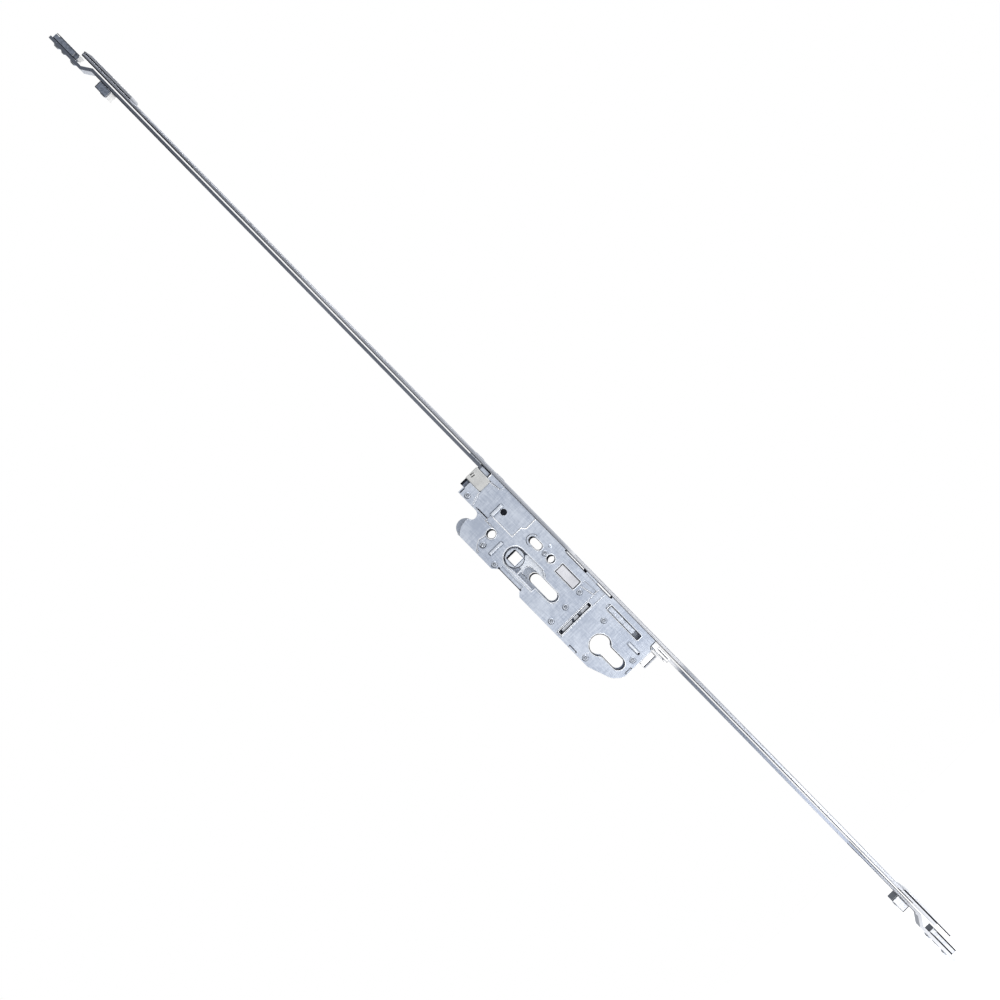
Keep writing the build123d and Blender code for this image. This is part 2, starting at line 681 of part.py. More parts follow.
# The hub slide: a leg with a notch for the finger, a fork round the handle passage, an inner rack and a foot
LEG_TOP = 6.2
SLIDE_FRONT = 23.6
SLIDE_SHOULDER = -25.5
SLIDE_NECK = 12.5
SLIDE_BOTTOM = -61.0
SLIDE_WAIST = 9.6
FORK_CENTRE = -15.0
FORK_FOOT = -43.0
WEB_TOP = -9.5
WEB_BOTTOM = -10.7
WEB_FRONT = -2.3
FOOT_FRONT = 14.4
FOOT_REAR = 6.4
FOOT_BOTTOM = -68.0
RACK_MARGIN = 4.2
GEAR_ROOM = 1.0
fork_half = PASSAGE_WIDTH / 2 + 0.35
hub_round = FINGER_BODY + 0.6
hub_round_x = hub_round * math.cos(math.radians(35))
hub_round_z = -hub_round * math.sin(math.radians(35))
fork_diagonal = fork_half * math.cos(math.radians(45))
finger_z = FINGER_RADIUS * math.sin(math.radians(HUB_TURN / 2))
slide_rack_x = PINION_X + small_pitch
gear_room_x = PINION_X - small_pitch - GEAR_ROOM

with BuildPart() as hub_slide:
    with BuildSketch(level(slide_back)):
        with BuildLine():
            Polyline(
                (-hub_round_x, hub_round_z),
                (-hub_round, hub_round_z),
                (-hub_round, LEG_TOP),
                (leg_rear, LEG_TOP),
                (leg_rear, LEG_FOOT),
                (LEG_FRONT, LEG_FOOT),
                (LEG_FRONT, WEB_BOTTOM),
                (-fork_half, WEB_BOTTOM),
                (-fork_diagonal, FORK_CENTRE + fork_diagonal),
            )
            ThreePointArc(
                (-fork_diagonal, FORK_CENTRE + fork_diagonal),
                (0, FORK_CENTRE + fork_half),
                (fork_half, FORK_CENTRE),
            )
            Polyline(
                (fork_half, FORK_CENTRE),
                (fork_half, FORK_FOOT),
                (SLIDE_WAIST, FORK_FOOT - 5.0),
                (SLIDE_WAIST, SLIDE_BOTTOM + 1.0),
                (FOOT_REAR + 1.2, SLIDE_BOTTOM - 1.0),
                (FOOT_REAR, FOOT_BOTTOM),
                (FOOT_FRONT, FOOT_BOTTOM),
                (FOOT_FRONT, SLIDE_BOTTOM),
                (SLIDE_FRONT, SLIDE_BOTTOM),
                (SLIDE_FRONT, SLIDE_SHOULDER),
                (SLIDE_NECK + 2.5, SLIDE_SHOULDER),
                (SLIDE_NECK, SLIDE_SHOULDER + 2.5),
                (SLIDE_NECK, FORK_CENTRE + 6.0),
                (hub_round, hub_round_z),
                (hub_round_x, hub_round_z),
            )
            ThreePointArc((hub_round_x, hub_round_z), (0, -hub_round), (-hub_round_x, hub_round_z))
        make_face()
        with Locations(((notch_floor - FINGER_BODY) / 2, finger_z)):
            Rectangle(-FINGER_BODY - notch_floor, 2 * FINGER_NOSE + 0.3, mode=Mode.SUBTRACT)
        with BuildLine():
            Polyline(
                (WEB_FRONT, WEB_TOP),
                (LEG_FRONT, WEB_TOP),
                (LEG_FRONT, hub_round_z),
                (-hub_round_x, 0),
                (WEB_FRONT, 0),
                close=True,
            )
        make_face(mode=Mode.SUBTRACT)
        with BuildLine():
            rack_edge = rack_points(
                slide_rack_x,
                -1,
                PINION_Z - RACK_MARGIN,
                PINION_Z + hub_slide_travel + RACK_MARGIN,
                SMALL_GEAR_MODULE,
                SMALL_ADDENDUM - 0.05,
                SMALL_DEDENDUM - 0.1,
            )
            Polyline(
                (gear_room_x, rack_edge[0][1]),
                *rack_edge,
                (gear_room_x, rack_edge[-1][1]),
                close=True,
            )
        make_face(mode=Mode.SUBTRACT)
    extrude(amount=slide_back - slide_front)

# The double pinion and its pin
with BuildPart() as drive_pinion:
    with BuildSketch(outward(PINION_X, rack_back, PINION_Z)):
        with BuildLine():
            Polyline(
                *gear_points(LARGE_GEAR_TEETH, LARGE_GEAR_MODULE, LARGE_ADDENDUM, LARGE_DEDENDUM),
                close=True,
            )
        make_face()
    extrude(amount=rack_back - rack_front)
    with BuildSketch(outward(PINION_X, rack_front, PINION_Z)):
        with BuildLine():
            Polyline(
                *gear_points(SMALL_GEAR_TEETH, SMALL_GEAR_MODULE, SMALL_ADDENDUM, SMALL_DEDENDUM),
                close=True,
            )
        make_face()
    extrude(amount=rack_front - slide_front)
    with BuildSketch(outward(PINION_X, inner_half - EASE, PINION_Z)):
        Circle(PINION_COLLAR)
    extrude(amount=inner_half - EASE - rack_back)
    with BuildSketch(outward(PINION_X, half_case, PINION_Z)):
        Circle(PINION_PIN_RADIUS + PIN_GAP)
    extrude(amount=CASE_THICK, mode=Mode.SUBTRACT)

with BuildPart() as pinion_pin:
    with Locations((PINION_X, 0, PINION_Z)):
        add(dished_rivet(-half_case, CASE_THICK, PINION_PIN_RADIUS, POST_HEAD).part)

# The upper slide, a rack that hangs from the upper rod
SLIDE_BACK_X = 29.9
HOOK_DROP = 4.1
HOOK_HEIGHT = 3.8
HOOK_INSET = 0.2
UPPER_SLIDE_REAR = 24.9
RACK_FOOT = 4.0
RACK_SPARE = 7.5
hook_top = CASE_TOP - HOOK_DROP
hook_bottom = hook_top - HOOK_HEIGHT
upper_rack_x = PINION_X + large_pitch
lower_rack_x = PINION_X - large_pitch
hook_tip = rod_front - HOOK_INSET

with BuildPart() as upper_slide:
    with BuildSketch(level(rack_back)):
        with BuildLine():
            upper_teeth = rack_points(
                upper_rack_x,
                -1,
                PINION_Z - RACK_FOOT,
                PINION_Z + ROD_STROKE + RACK_SPARE,
                LARGE_GEAR_MODULE,
                LARGE_ADDENDUM,
                LARGE_DEDENDUM,
            )
            Polyline(
                *upper_teeth,
                (UPPER_SLIDE_REAR, upper_teeth[-1][1]),
                (UPPER_SLIDE_REAR, CASE_TOP - 2.0),
                (rod_back, CASE_TOP - 2.0),
                (rod_back, hook_top),
                (hook_tip, hook_top),
                (hook_tip, hook_bottom),
                (rod_back, hook_bottom),
                (rod_back, upper_foot - 2.0),
                (SLIDE_BACK_X, upper_foot - 4.0),
                (SLIDE_BACK_X, upper_teeth[0][1]),
                close=True,
            )
        make_face()
    extrude(amount=rack_back - rack_front)

# The lower slide, a rack at the pinion's rear that passes the cylinder in front
SLIDE_TOP = 7.0
LOWER_SLIDE_FRONT = 13.0
LOWER_SLIDE_ARM = -76.6
LOWER_SLIDE_SIDE = 3.2
LOWER_HOOK_DROP = 1.5
LOWER_HOOK_HEIGHT = 2.8
DRIVER_LENGTH = 15.1
DRIVER_DEPTH = 3.0
RACK_TAIL = 3.5
ARM_ROOM = 16.0
ARM_ROOM_TOP = -84.0
ARM_ROOM_BOTTOM = -114.0
SLIDE_KNEE = -112.0
SLIDE_KNEE_X = 16.0
lower_slide_rear = lower_rack_x - LOWER_SLIDE_SIDE
lower_slide_top = PINION_Z + SLIDE_TOP
lower_hook_top = CASE_BOTTOM - LOWER_HOOK_DROP
lower_hook_bottom = lower_hook_top - LOWER_HOOK_HEIGHT
driver_front = rod_back
driver_rear = rod_back - DRIVER_DEPTH
driver_top = CASE_BOTTOM + 0.3
driver_bottom = CASE_BOTTOM - DRIVER_LENGTH
driver_knee = driver_bottom + 8.0

with BuildPart() as lower_slide:
    with BuildSketch(level(deep_back)):
        with BuildLine():
            Polyline(
                (lower_slide_rear, lower_slide_top),
                (LOWER_SLIDE_FRONT, lower_slide_top),
                (LOWER_SLIDE_FRONT, LOWER_SLIDE_ARM),
                (SLIDE_BACK_X, LOWER_SLIDE_ARM),
                (SLIDE_BACK_X, lower_head + 2.0),
                (rod_back, lower_head + 0.5),
                (rod_back, lower_hook_top),
                (hook_tip, lower_hook_top),
                (hook_tip, lower_hook_bottom),
                (rod_back, lower_hook_bottom),
                (rod_back, driver_bottom),
                (driver_rear, driver_bottom),
                (driver_rear, driver_knee),
                (DRIVER_SIDE + RUN_GAP, driver_knee + 1.4),
                (DRIVER_SIDE + RUN_GAP, CASE_BOTTOM + 4.1),
                (SLIDE_KNEE_X, SLIDE_KNEE),
                (lower_slide_rear, SLIDE_KNEE),
                close=True,
            )
        make_face()
        with Locations((0, cylinder_z)):
            Circle(CAM_SWEEP, mode=Mode.SUBTRACT)
        with Locations((lower_rack_x, (ARM_ROOM_TOP + ARM_ROOM_BOTTOM) / 2)):
            Rectangle(ARM_ROOM, ARM_ROOM_TOP - ARM_ROOM_BOTTOM, mode=Mode.SUBTRACT)
    extrude(amount=deep_back - deep_front)
    with BuildSketch(level(deep_front)):
        with BuildLine():
            lower_teeth = rack_points(
                lower_rack_x,
                1,
                PINION_Z - ROD_STROKE - RACK_TAIL,
                PINION_Z + RACK_FOOT,
                LARGE_GEAR_MODULE,
                LARGE_ADDENDUM,
                LARGE_DEDENDUM,
            )
            Polyline(
                (lower_slide_rear, lower_teeth[0][1]),
                *lower_teeth,
                (lower_slide_rear, lower_teeth[-1][1]),
                close=True,
            )
        make_face()
    extrude(amount=deep_front - rack_front)

# The angle driver, riveted to the lower slide's foot, with a thin cheek over the rod's side
DRIVER_PIN_RADIUS = 0.9
CHEEK_THICK = 0.6
CHEEK_REAR = 27.2
CHEEK_LENGTH = 8.4
driver_pins = [(driver_front - 2.1, driver_top - 0.6), (driver_front - 1.5, driver_bottom + 3.8)]
cheek_back = -ROD_WIDTH / 2 - EASE
cheek_top = CASE_BOTTOM + DRIVER_NOTCH - RUN_GAP

with BuildPart() as lower_driver:
    with BuildSketch(level(deep_front)):
        with BuildLine():
            Polyline(
                (driver_front, driver_top + 1.2),
                (driver_front, driver_bottom),
                (driver_rear, driver_bottom),
                (driver_rear, driver_knee),
                (DRIVER_SIDE + RUN_GAP, driver_knee + 1.4),
                (DRIVER_SIDE + RUN_GAP, driver_top),
                (driver_rear + 0.5, driver_top + 1.2),
                close=True,
            )
        make_face()
        with Locations(*driver_pins):
            RegularPolygon(DRIVER_PIN_RADIUS + PIN_GAP, RIVET_SIDES, mode=Mode.SUBTRACT)
    extrude(amount=deep_front - rack_front)
    with BuildSketch(level(rack_front)):
        upright_box(driver_front, CHEEK_REAR, driver_top - 2.0, driver_top - 6.0)
    extrude(amount=rack_front - cheek_back)
    with BuildSketch(level(cheek_back)):
        upright_box(rod_front, CHEEK_REAR, cheek_top, cheek_top - CHEEK_LENGTH)
    extrude(amount=CHEEK_THICK)

with BuildPart() as driver_rivets:
    with BuildSketch(level(deep_front - 0.01)):
        with Locations(*driver_pins):
            RegularPolygon(DRIVER_PIN_RADIUS, RIVET_SIDES)
    extrude(amount=deep_front - rack_front + RUN_GAP / 2)

# The rods


def rod_profile(foot, joggle, end, way):
    """Corners of a rod seen from the side; way is +1 up the door and -1 down."""
    return [
        (rod_back, foot),
        (rod_front, foot),
        (rod_front, joggle),
        (tongue_front, joggle + way * JOGGLE_RUN),
        (tongue_front, end),
        (tongue_back, end),
        (tongue_back, joggle + way * (JOGGLE_RUN - JOGGLE_EASE)),
        (rod_back, joggle - way * JOGGLE_EASE),
    ]


# Rivet places along each coupling from its near end, and the radius and height of their heads
UPPER_PINS = ((2.1, 3.0, 1.3), (12.7, 2.2, 1.0), (19.6, 3.0, 1.3))
LOWER_PINS = ((3.3, 3.1, 1.2), (11.9, 3.8, 0.6), (21.0, 3.1, 1.2))
upper_near = upper_joggle + COUPLING_INSET
lower_near = lower_joggle - COUPLING_INSET
upper_rivets = [(upper_near + inset, head, rise) for inset, head, rise in UPPER_PINS]
lower_rivets = [(lower_near - inset, head, rise) for inset, head, rise in LOWER_PINS]
upper_guide_z = upper_joggle - GUIDE_INSET
lower_guide_z = lower_joggle + GUIDE_INSET

with BuildPart() as upper_drive_rod:
    with BuildSketch(level(ROD_WIDTH / 2)):
        with BuildLine():
            Polyline(*rod_profile(upper_foot, upper_joggle, upper_joggle + UPPER_TONGUE, 1), close=True)
        make_face()
    extrude(amount=ROD_WIDTH)
    with BuildSketch(facing(rod_front)):
        with Locations(((rack_front + rack_back) / 2, (hook_top + hook_bottom) / 2)):
            Rectangle(rack_back - rack_front + 2 * EASE, hook_top - hook_bottom + 2 * EASE)
        with Locations((0, upper_guide_z)):
            RegularPolygon(GUIDE_PIN + PIN_GAP, RIVET_SIDES)
        with Locations(*[(0, rivet_z) for rivet_z, head, rise in upper_rivets]):
            RegularPolygon(COUPLING_PIN + PIN_GAP, RIVET_SIDES)
    extrude(amount=-ROD_JOGGLE - 2 * ROD_THICK, mode=Mode.SUBTRACT)

with BuildPart() as lower_drive_rod:
    with BuildSketch(level(ROD_WIDTH / 2)):
        with BuildLine():
            Polyline(*rod_profile(lower_head, lower_joggle, lower_joggle - LOWER_TONGUE, -1), close=True)
        make_face()
    extrude(amount=ROD_WIDTH)
    with BuildSketch(facing(rod_front)):
        with Locations(((deep_front + deep_back) / 2, (lower_hook_top + lower_hook_bottom) / 2)):
            Rectangle(deep_back - deep_front + 2 * EASE, lower_hook_top - lower_hook_bottom + 2 * EASE)
        with Locations((0, lower_guide_z)):
            RegularPolygon(GUIDE_PIN + PIN_GAP, RIVET_SIDES)
        with Locations(*[(0, rivet_z) for rivet_z, head, rise in lower_rivets]):
            RegularPolygon(COUPLING_PIN + PIN_GAP, RIVET_SIDES)
    extrude(amount=-ROD_JOGGLE - 2 * ROD_THICK, mode=Mode.SUBTRACT)

# Couplings on the rods' ends: a block with a thin top layer that laps past it at the near end
LAYER_OVERLAP = 3.6
LAYER_SETBACK = 3.9
NOSE_LENGTH = 4.0
NOSE_STEP = 1.2
EDGE_GROOVE = 0.5
GROOVE_LAND = 0.4
upper_far = upper_near + COUPLING_LENGTH
lower_far = lower_near - COUPLING_LENGTH
coupling_top = tongue_front + COUPLING_HEIGHT
block_top = coupling_top - COUPLING_STEP

with BuildPart() as upper_coupling:
    with BuildSketch(level(ROD_WIDTH / 2)):
        with BuildLine():
            Polyline(
                (tongue_front, upper_far),
                (block_top, upper_far),
                (block_top, upper_far - LAYER_SETBACK),
                (coupling_top, upper_far - LAYER_SETBACK),
                (coupling_top, upper_near),
                (tongue_front + COUPLING_STEP, upper_near),
                (tongue_front + COUPLING_STEP, upper_near + LAYER_OVERLAP / 2),
                (tongue_front, upper_near + LAYER_OVERLAP / 2),
                close=True,
            )
        make_face()
    extrude(amount=ROD_WIDTH)
    # The near end steps in on both sides
    with BuildSketch(level(ROD_WIDTH)):
        upright_box(block_top, tongue_front, upper_near + NOSE_LENGTH, upper_near - NOSE_LENGTH)
    extrude(amount=ROD_WIDTH / 2 + NOSE_STEP, mode=Mode.SUBTRACT)
    with BuildSketch(level(-ROD_WIDTH / 2 + NOSE_STEP)):
        upright_box(block_top, tongue_front, upper_near + NOSE_LENGTH, upper_near - NOSE_LENGTH)
    extrude(amount=ROD_WIDTH, mode=Mode.SUBTRACT)
    with BuildSketch(facing(tongue_front)):
        with Locations(*[(0, rivet_z) for rivet_z, head, rise in upper_rivets]):
            RegularPolygon(COUPLING_PIN + PIN_GAP, RIVET_SIDES)
    extrude(amount=2 * COUPLING_HEIGHT, mode=Mode.SUBTRACT)

with BuildPart() as lower_coupling:
    with BuildSketch(level(ROD_WIDTH / 2)):
        upright_box(coupling_top, tongue_front, lower_near, lower_far)
    extrude(amount=ROD_WIDTH)
    # Grooves along the top and bottom edges of both sides
    groove_top = lower_near - NOSE_LENGTH
    groove_bottom = lower_far - NOSE_LENGTH
    for groove_start in (-ROD_WIDTH / 2 + EDGE_GROOVE, ROD_WIDTH / 2 + EDGE_GROOVE):
        with BuildSketch(level(groove_start)):
            upright_box(coupling_top - GROOVE_LAND, block_top, groove_top, groove_bottom)
            upright_box(tongue_front + COUPLING_STEP, tongue_front + GROOVE_LAND, groove_top, groove_bottom)
        extrude(amount=2 * EDGE_GROOVE, mode=Mode.SUBTRACT)
    with BuildSketch(facing(tongue_front)):
        with Locations(*[(0, rivet_z) for rivet_z, head, rise in lower_rivets]):
            RegularPolygon(COUPLING_PIN + PIN_GAP, RIVET_SIDES)
    extrude(amount=2 * COUPLING_HEIGHT, mode=Mode.SUBTRACT)


def coupling_rivet_set(rivets):
    """Rivets through tongue and coupling, with low heads behind the tongue."""
    with BuildPart() as made:
        for rivet_z, head, rise in rivets:
            one = headed_rivet(tongue_back, ROD_THICK + COUPLING_HEIGHT - RUN_GAP, COUPLING_PIN, head, rise)
            with Locations(*at_heights([rivet_z])):
                add(one.part)
    return made


upper_coupling_rivets = coupling_rivet_set(upper_rivets)
lower_coupling_rivets = coupling_rivet_set(lower_rivets)

# Guide blocks behind the rods, each with its rivet
GUIDE_EDGE = 0.8
GUIDE_HEAD = 2.6
guides = {}
guide_rivets = {}
for side, guide_z in (("upper", upper_guide_z), ("lower", lower_guide_z)):
    with BuildPart() as guide:
        with BuildSketch(facing(rod_back - GUIDE_DEPTH)):
            with Locations((0, guide_z)):
                Rectangle(GUIDE_WIDTH, GUIDE_LENGTH)
        extrude(amount=GUIDE_DEPTH)
        chamfer(guide.edges().filter_by(Axis.X), GUIDE_EDGE)
        with BuildSketch(facing(rod_back - GUIDE_DEPTH)):
            with Locations((0, guide_z)):
                RegularPolygon(GUIDE_PIN + PIN_GAP, RIVET_SIDES)
        extrude(amount=GUIDE_DEPTH, mode=Mode.SUBTRACT)
    guides[side] = guide
    guide_rivet = headed_rivet(rod_back - GUIDE_DEPTH, GUIDE_DEPTH + ROD_THICK, GUIDE_PIN, GUIDE_HEAD, HEAD_RISE)
    with BuildPart() as placed_rivet:
        with Locations(*at_heights([guide_z])):
            add(guide_rivet.part)
    guide_rivets[side] = placed_rivet

# The faceplate
plate_holes = (PLATE_HOLE_TOP, PLATE_LENGTH - PLATE_HOLE_FOOT)
upper_plate_screws = [upper_plate_top - drop for drop in plate_holes]
lower_plate_screws = [lower_plate_top - plate_holes[0]]

with BuildPart() as faceplate:
    with BuildSketch(facing(face_back)):
        upright_centre = (FACE_TOP + face_bottom) / 2
        with Locations((0, upright_centre)):
            Rectangle(FACE_WIDTH, FACE_LENGTH)
    extrude(amount=FACE_THICK)
    chamfer(faceplate.edges().filter_by(Axis.Z), FACE_EDGE)
    with BuildSketch(facing(BACKSET)):
        with Locations(*[(0, bulge_z) for bulge_z in BULGE_PLACES]):
            RegularPolygon(BULGE_RADIUS, SCREW_SIDES)
    extrude(amount=BULGE_HEIGHT)
    chamfer(faceplate.faces().group_by(Axis.X)[-1].edges(), HEAD_SLOPE * BULGE_HEIGHT)
    with BuildSketch(facing(BACKSET)):
        with Locations(*[(0, screw_z) for screw_z in (*upper_plate_screws, *lower_plate_screws)]):
            RegularPolygon(SCREW_RADIUS + PIN_GAP, SCREW_SIDES)
    extrude(amount=-FACE_THICK, mode=Mode.SUBTRACT)
    with Locations(*at_heights(FACE_SCREWS)):
        add(screw_form(BACKSET, FACE_THICK, PIN_GAP).part, mode=Mode.SUBTRACT)

end_plates = {}
for side, plate_top in (("upper", upper_plate_top), ("lower", lower_plate_top)):
    with BuildPart() as end_plate:
        with BuildSketch(level(FACE_WIDTH / 2)):
            with BuildLine():
                Polyline(
                    (BACKSET, plate_top),
                    (BACKSET + PLATE_NOSE, plate_top),
                    (BACKSET + PLATE_THICK, plate_top - PLATE_RAMP),
                    (BACKSET + PLATE_THICK, plate_top - PLATE_LENGTH + PLATE_TAIL),
                    (BACKSET + PLATE_THICK - PLATE_TAIL, plate_top - PLATE_LENGTH),
                    (BACKSET, plate_top - PLATE_LENGTH),
                    close=True,
                )
            make_face()
        extrude(amount=FACE_WIDTH)
        with Locations(*at_heights([plate_top - drop for drop in plate_holes])):
            add(screw_form(BACKSET + PLATE_THICK, PLATE_THICK, PIN_GAP).part, mode=Mode.SUBTRACT)
    end_plates[side] = end_plate


def countersunk_screws(front, places, length):
    """Countersunk screws with their heads flush with the face at front."""
    with BuildPart() as screws:
        with Locations(*at_heights(places)):
            add(screw_form(front, length, 0).part)
        with BuildSketch(facing(front)):
            with Locations(*[(0, screw_z) for screw_z in places]):
                Rectangle(SCREW_SOCKET, SCREW_SOCKET, rotation=20)
        extrude(amount=-SCREW_SOCKET, mode=Mode.SUBTRACT)
    return screws


screw_length = PLATE_THICK + FACE_THICK
upper_plate_screw_set = countersunk_screws(BACKSET + PLATE_THICK, upper_plate_screws, screw_length)
lower_plate_screw_set = countersunk_screws(BACKSET + PLATE_THICK, lower_plate_screws, screw_length)
face_screw_set = countersunk_screws(BACKSET, FACE_SCREWS, FACE_THICK + SHEET)

# The spacer between faceplate and upper rod, under the upper bulge
SPACER_LENGTH = 11.0
with BuildPart() as rod_spacer:
    with BuildSketch(facing(face_back - ROD_GAP + EASE)):
        with Locations((0, BULGE_PLACES[1] + 1.6)):
            Rectangle(ROD_WIDTH, SPACER_LENGTH)
    extrude(amount=ROD_GAP - EASE)

# The lock slide in the long slot, which the cylinder's cam pushes
LOCK_TRAVEL = 6.4
LOCK_TOP = LONG_SLOT_TOP - 0.6
LOCK_SINK = 0.4
LOCK_STEP = 0.4
LOCK_FRONT = LONG_SLOT_FRONT - 0.65
LOCK_REAR = LONG_SLOT_REAR + 0.5
LOCK_ARM_REAR = 15.9
LOCK_ARM_Z = -97.5
LOCK_BUTTON = (24.6, -82.7)
LOCK_BUTTON_RADIUS = 1.1
LOCK_STEPS = (-89.6, -93.3)
lock_bottom = LONG_SLOT_BOTTOM + LOCK_TRAVEL + 0.2

with BuildPart() as lock_slide:
    with BuildSketch(level(slide_back)):
        with BuildLine():
            Polyline(
                (LOCK_FRONT, LOCK_TOP),
                (LOCK_FRONT, lock_bottom),
                (LOCK_REAR - 0.1, lock_bottom),
                (LOCK_REAR - 0.1, LOCK_ARM_Z),
                (LOCK_ARM_REAR, LOCK_ARM_Z),
                (LOCK_ARM_REAR, LOCK_ARM_Z + 4.5),
                (19.0, LOCK_ARM_Z + 9.5),
                (19.0, LOCK_TOP),
                close=True,
            )
        make_face()
    extrude(amount=slide_back - slide_front)
    with BuildSketch(level(slide_front)):
        upright_box(LOCK_FRONT, LOCK_REAR, LOCK_TOP, lock_bottom)
    extrude(amount=slide_front + half_case - LOCK_SINK)
    with BuildSketch(level(-half_case + LOCK_SINK)):
        upright_box(LOCK_FRONT, LOCK_REAR, *LOCK_STEPS)
    extrude(amount=-LOCK_STEP, mode=Mode.SUBTRACT)
    with Locations(outward(LOCK_BUTTON[0], -half_case + LOCK_SINK, LOCK_BUTTON[1])):
        button_tip = LOCK_BUTTON_RADIUS - LOCK_SINK
        Cone(LOCK_BUTTON_RADIUS, button_tip, LOCK_SINK, align=(Align.CENTER, Align.CENTER, Align.MIN))

# The cylinder lever, which the cam swings, on its pin
LEVER_FRONT = 3.8
LEVER_REAR = -12.6
LEVER_TOP = 3.5
LEVER_BOTTOM = -76.0
LEVER_HEEL = -60.0
LEVER_CUT = (-1.7, -65.0)

with BuildPart() as cylinder_lever:
    with BuildSketch(level(slide_back)):
        with BuildLine():
            Polyline(
                (LEVER_FRONT, LEVER_PIN_PLACE[1] + LEVER_TOP),
                (LEVER_FRONT, LEVER_BOTTOM + 1.2),
                (-3.0, LEVER_BOTTOM),
                (LEVER_REAR, LEVER_BOTTOM),
                (LEVER_REAR, LEVER_HEEL),
                (-4.0, LEVER_PIN_PLACE[1] + LEVER_TOP),
                close=True,
            )
        make_face()
        with Locations(LEVER_PIN_PLACE):
            Circle(LEVER_PIN_RADIUS + PIN_GAP, mode=Mode.SUBTRACT)
        with Locations(LEVER_CUT):
            Rectangle(1.8, 9.0, rotation=-30, mode=Mode.SUBTRACT)
    extrude(amount=slide_back - slide_front)

LEVER_COLLAR = 2.6
with BuildPart() as lever_pin:
    with Locations((LEVER_PIN_PLACE[0], 0, LEVER_PIN_PLACE[1])):
        add(dished_rivet(-half_case, CASE_THICK, LEVER_PIN_RADIUS, POST_HEAD).part)
    with BuildSketch(level(inner_half - EASE)):
        with Locations(LEVER_PIN_PLACE):
            RegularPolygon(LEVER_COLLAR, RIVET_SIDES)
    extrude(amount=inner_half - EASE - slide_back - RUN_GAP)

# Posts and rivets
with BuildPart() as case_posts:
    with Locations(*[(post_x, 0, post_z) for post_x, post_z in post_places]):
        add(dished_rivet(-half_case, CASE_THICK, POST_RADIUS, POST_HEAD).part)

with BuildPart() as cover_rivets:
    with Locations(*[(rivet_x, 0, rivet_z) for rivet_x, rivet_z in short_rivet_places]):
        add(dished_rivet(-half_case, SHEET, POST_RADIUS, POST_HEAD).part)

# Pieces in the case's ends
CLIP_PROUD = 0.5
CLIP_RISE = 0.4
CLIP_EDGE = 0.5
CLIP_SLOTS = ((21.2, 1.3), (20.7, 3.1))
CLIP_SLOT_LENGTH = 3.4
CLIP_SLOT_WIDTH = 0.8
clip_top = CASE_TOP + CLIP_RISE
clip_back = rack_front - RUN_GAP

with BuildPart() as top_clip:
    with BuildSketch(level(clip_back)):
        upright_box(CLIP_FRONT - EASE / 2, CLIP_REAR + EASE / 2, clip_top, CLIP_BOTTOM + EASE)
    extrude(amount=clip_back + half_case + CLIP_PROUD)
    chamfer(top_clip.edges().filter_by(Axis.Y).group_by(Axis.Z)[0], 1.2)
    chamfer(top_clip.faces().sort_by(Axis.Y)[0].edges(), CLIP_EDGE)
    with BuildSketch(level(-half_case - CLIP_PROUD)):
        for slot_x, slot_drop in CLIP_SLOTS:
            with Locations((slot_x, clip_top - slot_drop)):
                Rectangle(CLIP_SLOT_LENGTH, CLIP_SLOT_WIDTH, rotation=-8)
    extrude(amount=-1.5, mode=Mode.SUBTRACT)

BLOCK_STEP = 1.4
with BuildPart() as top_block:
    with BuildSketch(level(inner_half)):
        upright_box(CLIP_REAR - EASE / 2, BLOCK_REAR + EASE / 2, CASE_TOP + EASE, BLOCK_BOTTOM + EASE)
    extrude(amount=2 * inner_half)
    with BuildSketch(level(-inner_half + BLOCK_STEP)):
        upright_box(CLIP_REAR, BLOCK_REAR, CASE_TOP + SHEET, CASE_TOP - SHEET)
    extrude(amount=BLOCK_STEP, mode=Mode.SUBTRACT)

BUFFER_FRONT = 23.5
BUFFER_REAR = 12.0
BUFFER_DEPTH = 4.9
BUFFER_PLATE = 1.7
BUFFER_LIP = 0.9
with BuildPart() as bottom_block:
    with BuildSketch(level(inner_half)):
        upright_box(BUFFER_FRONT, BUFFER_REAR, CASE_BOTTOM, CASE_BOTTOM - BUFFER_DEPTH)
    extrude(amount=2 * inner_half)

with BuildPart() as bottom_plate:
    with BuildSketch(level(inner_half)):
        plate_z = CASE_BOTTOM - BUFFER_DEPTH
        upright_box(BUFFER_FRONT + BUFFER_LIP, BUFFER_REAR - RUN_GAP, plate_z, plate_z - BUFFER_PLATE)
    extrude(amount=2 * inner_half)
    chamfer(bottom_plate.edges().filter_by(Axis.X).group_by(Axis.Y)[0], 0.5)

# The plate behind the window, with a pad that fills it
WINDOW_GAP = 0.35
WINDOW_FLANGE = 1.2
PAD_SINK = 0.3
with BuildPart() as window_plate:
    with BuildSketch(level(flange_back)):
        upright_box(
            WINDOW_FRONT + WINDOW_FLANGE,
            WINDOW_REAR - WINDOW_FLANGE,
            WINDOW_TOP + WINDOW_FLANGE,
            WINDOW_BOTTOM - WINDOW_FLANGE,
        )
    extrude(amount=flange_back + inner_half)
    with BuildSketch(level(-inner_half)):
        upright_box(
            WINDOW_FRONT - WINDOW_GAP,
            WINDOW_REAR + WINDOW_GAP,
            WINDOW_TOP - WINDOW_GAP,
            WINDOW_BOTTOM + WINDOW_GAP,
        )
    extrude(amount=SHEET - PAD_SINK)

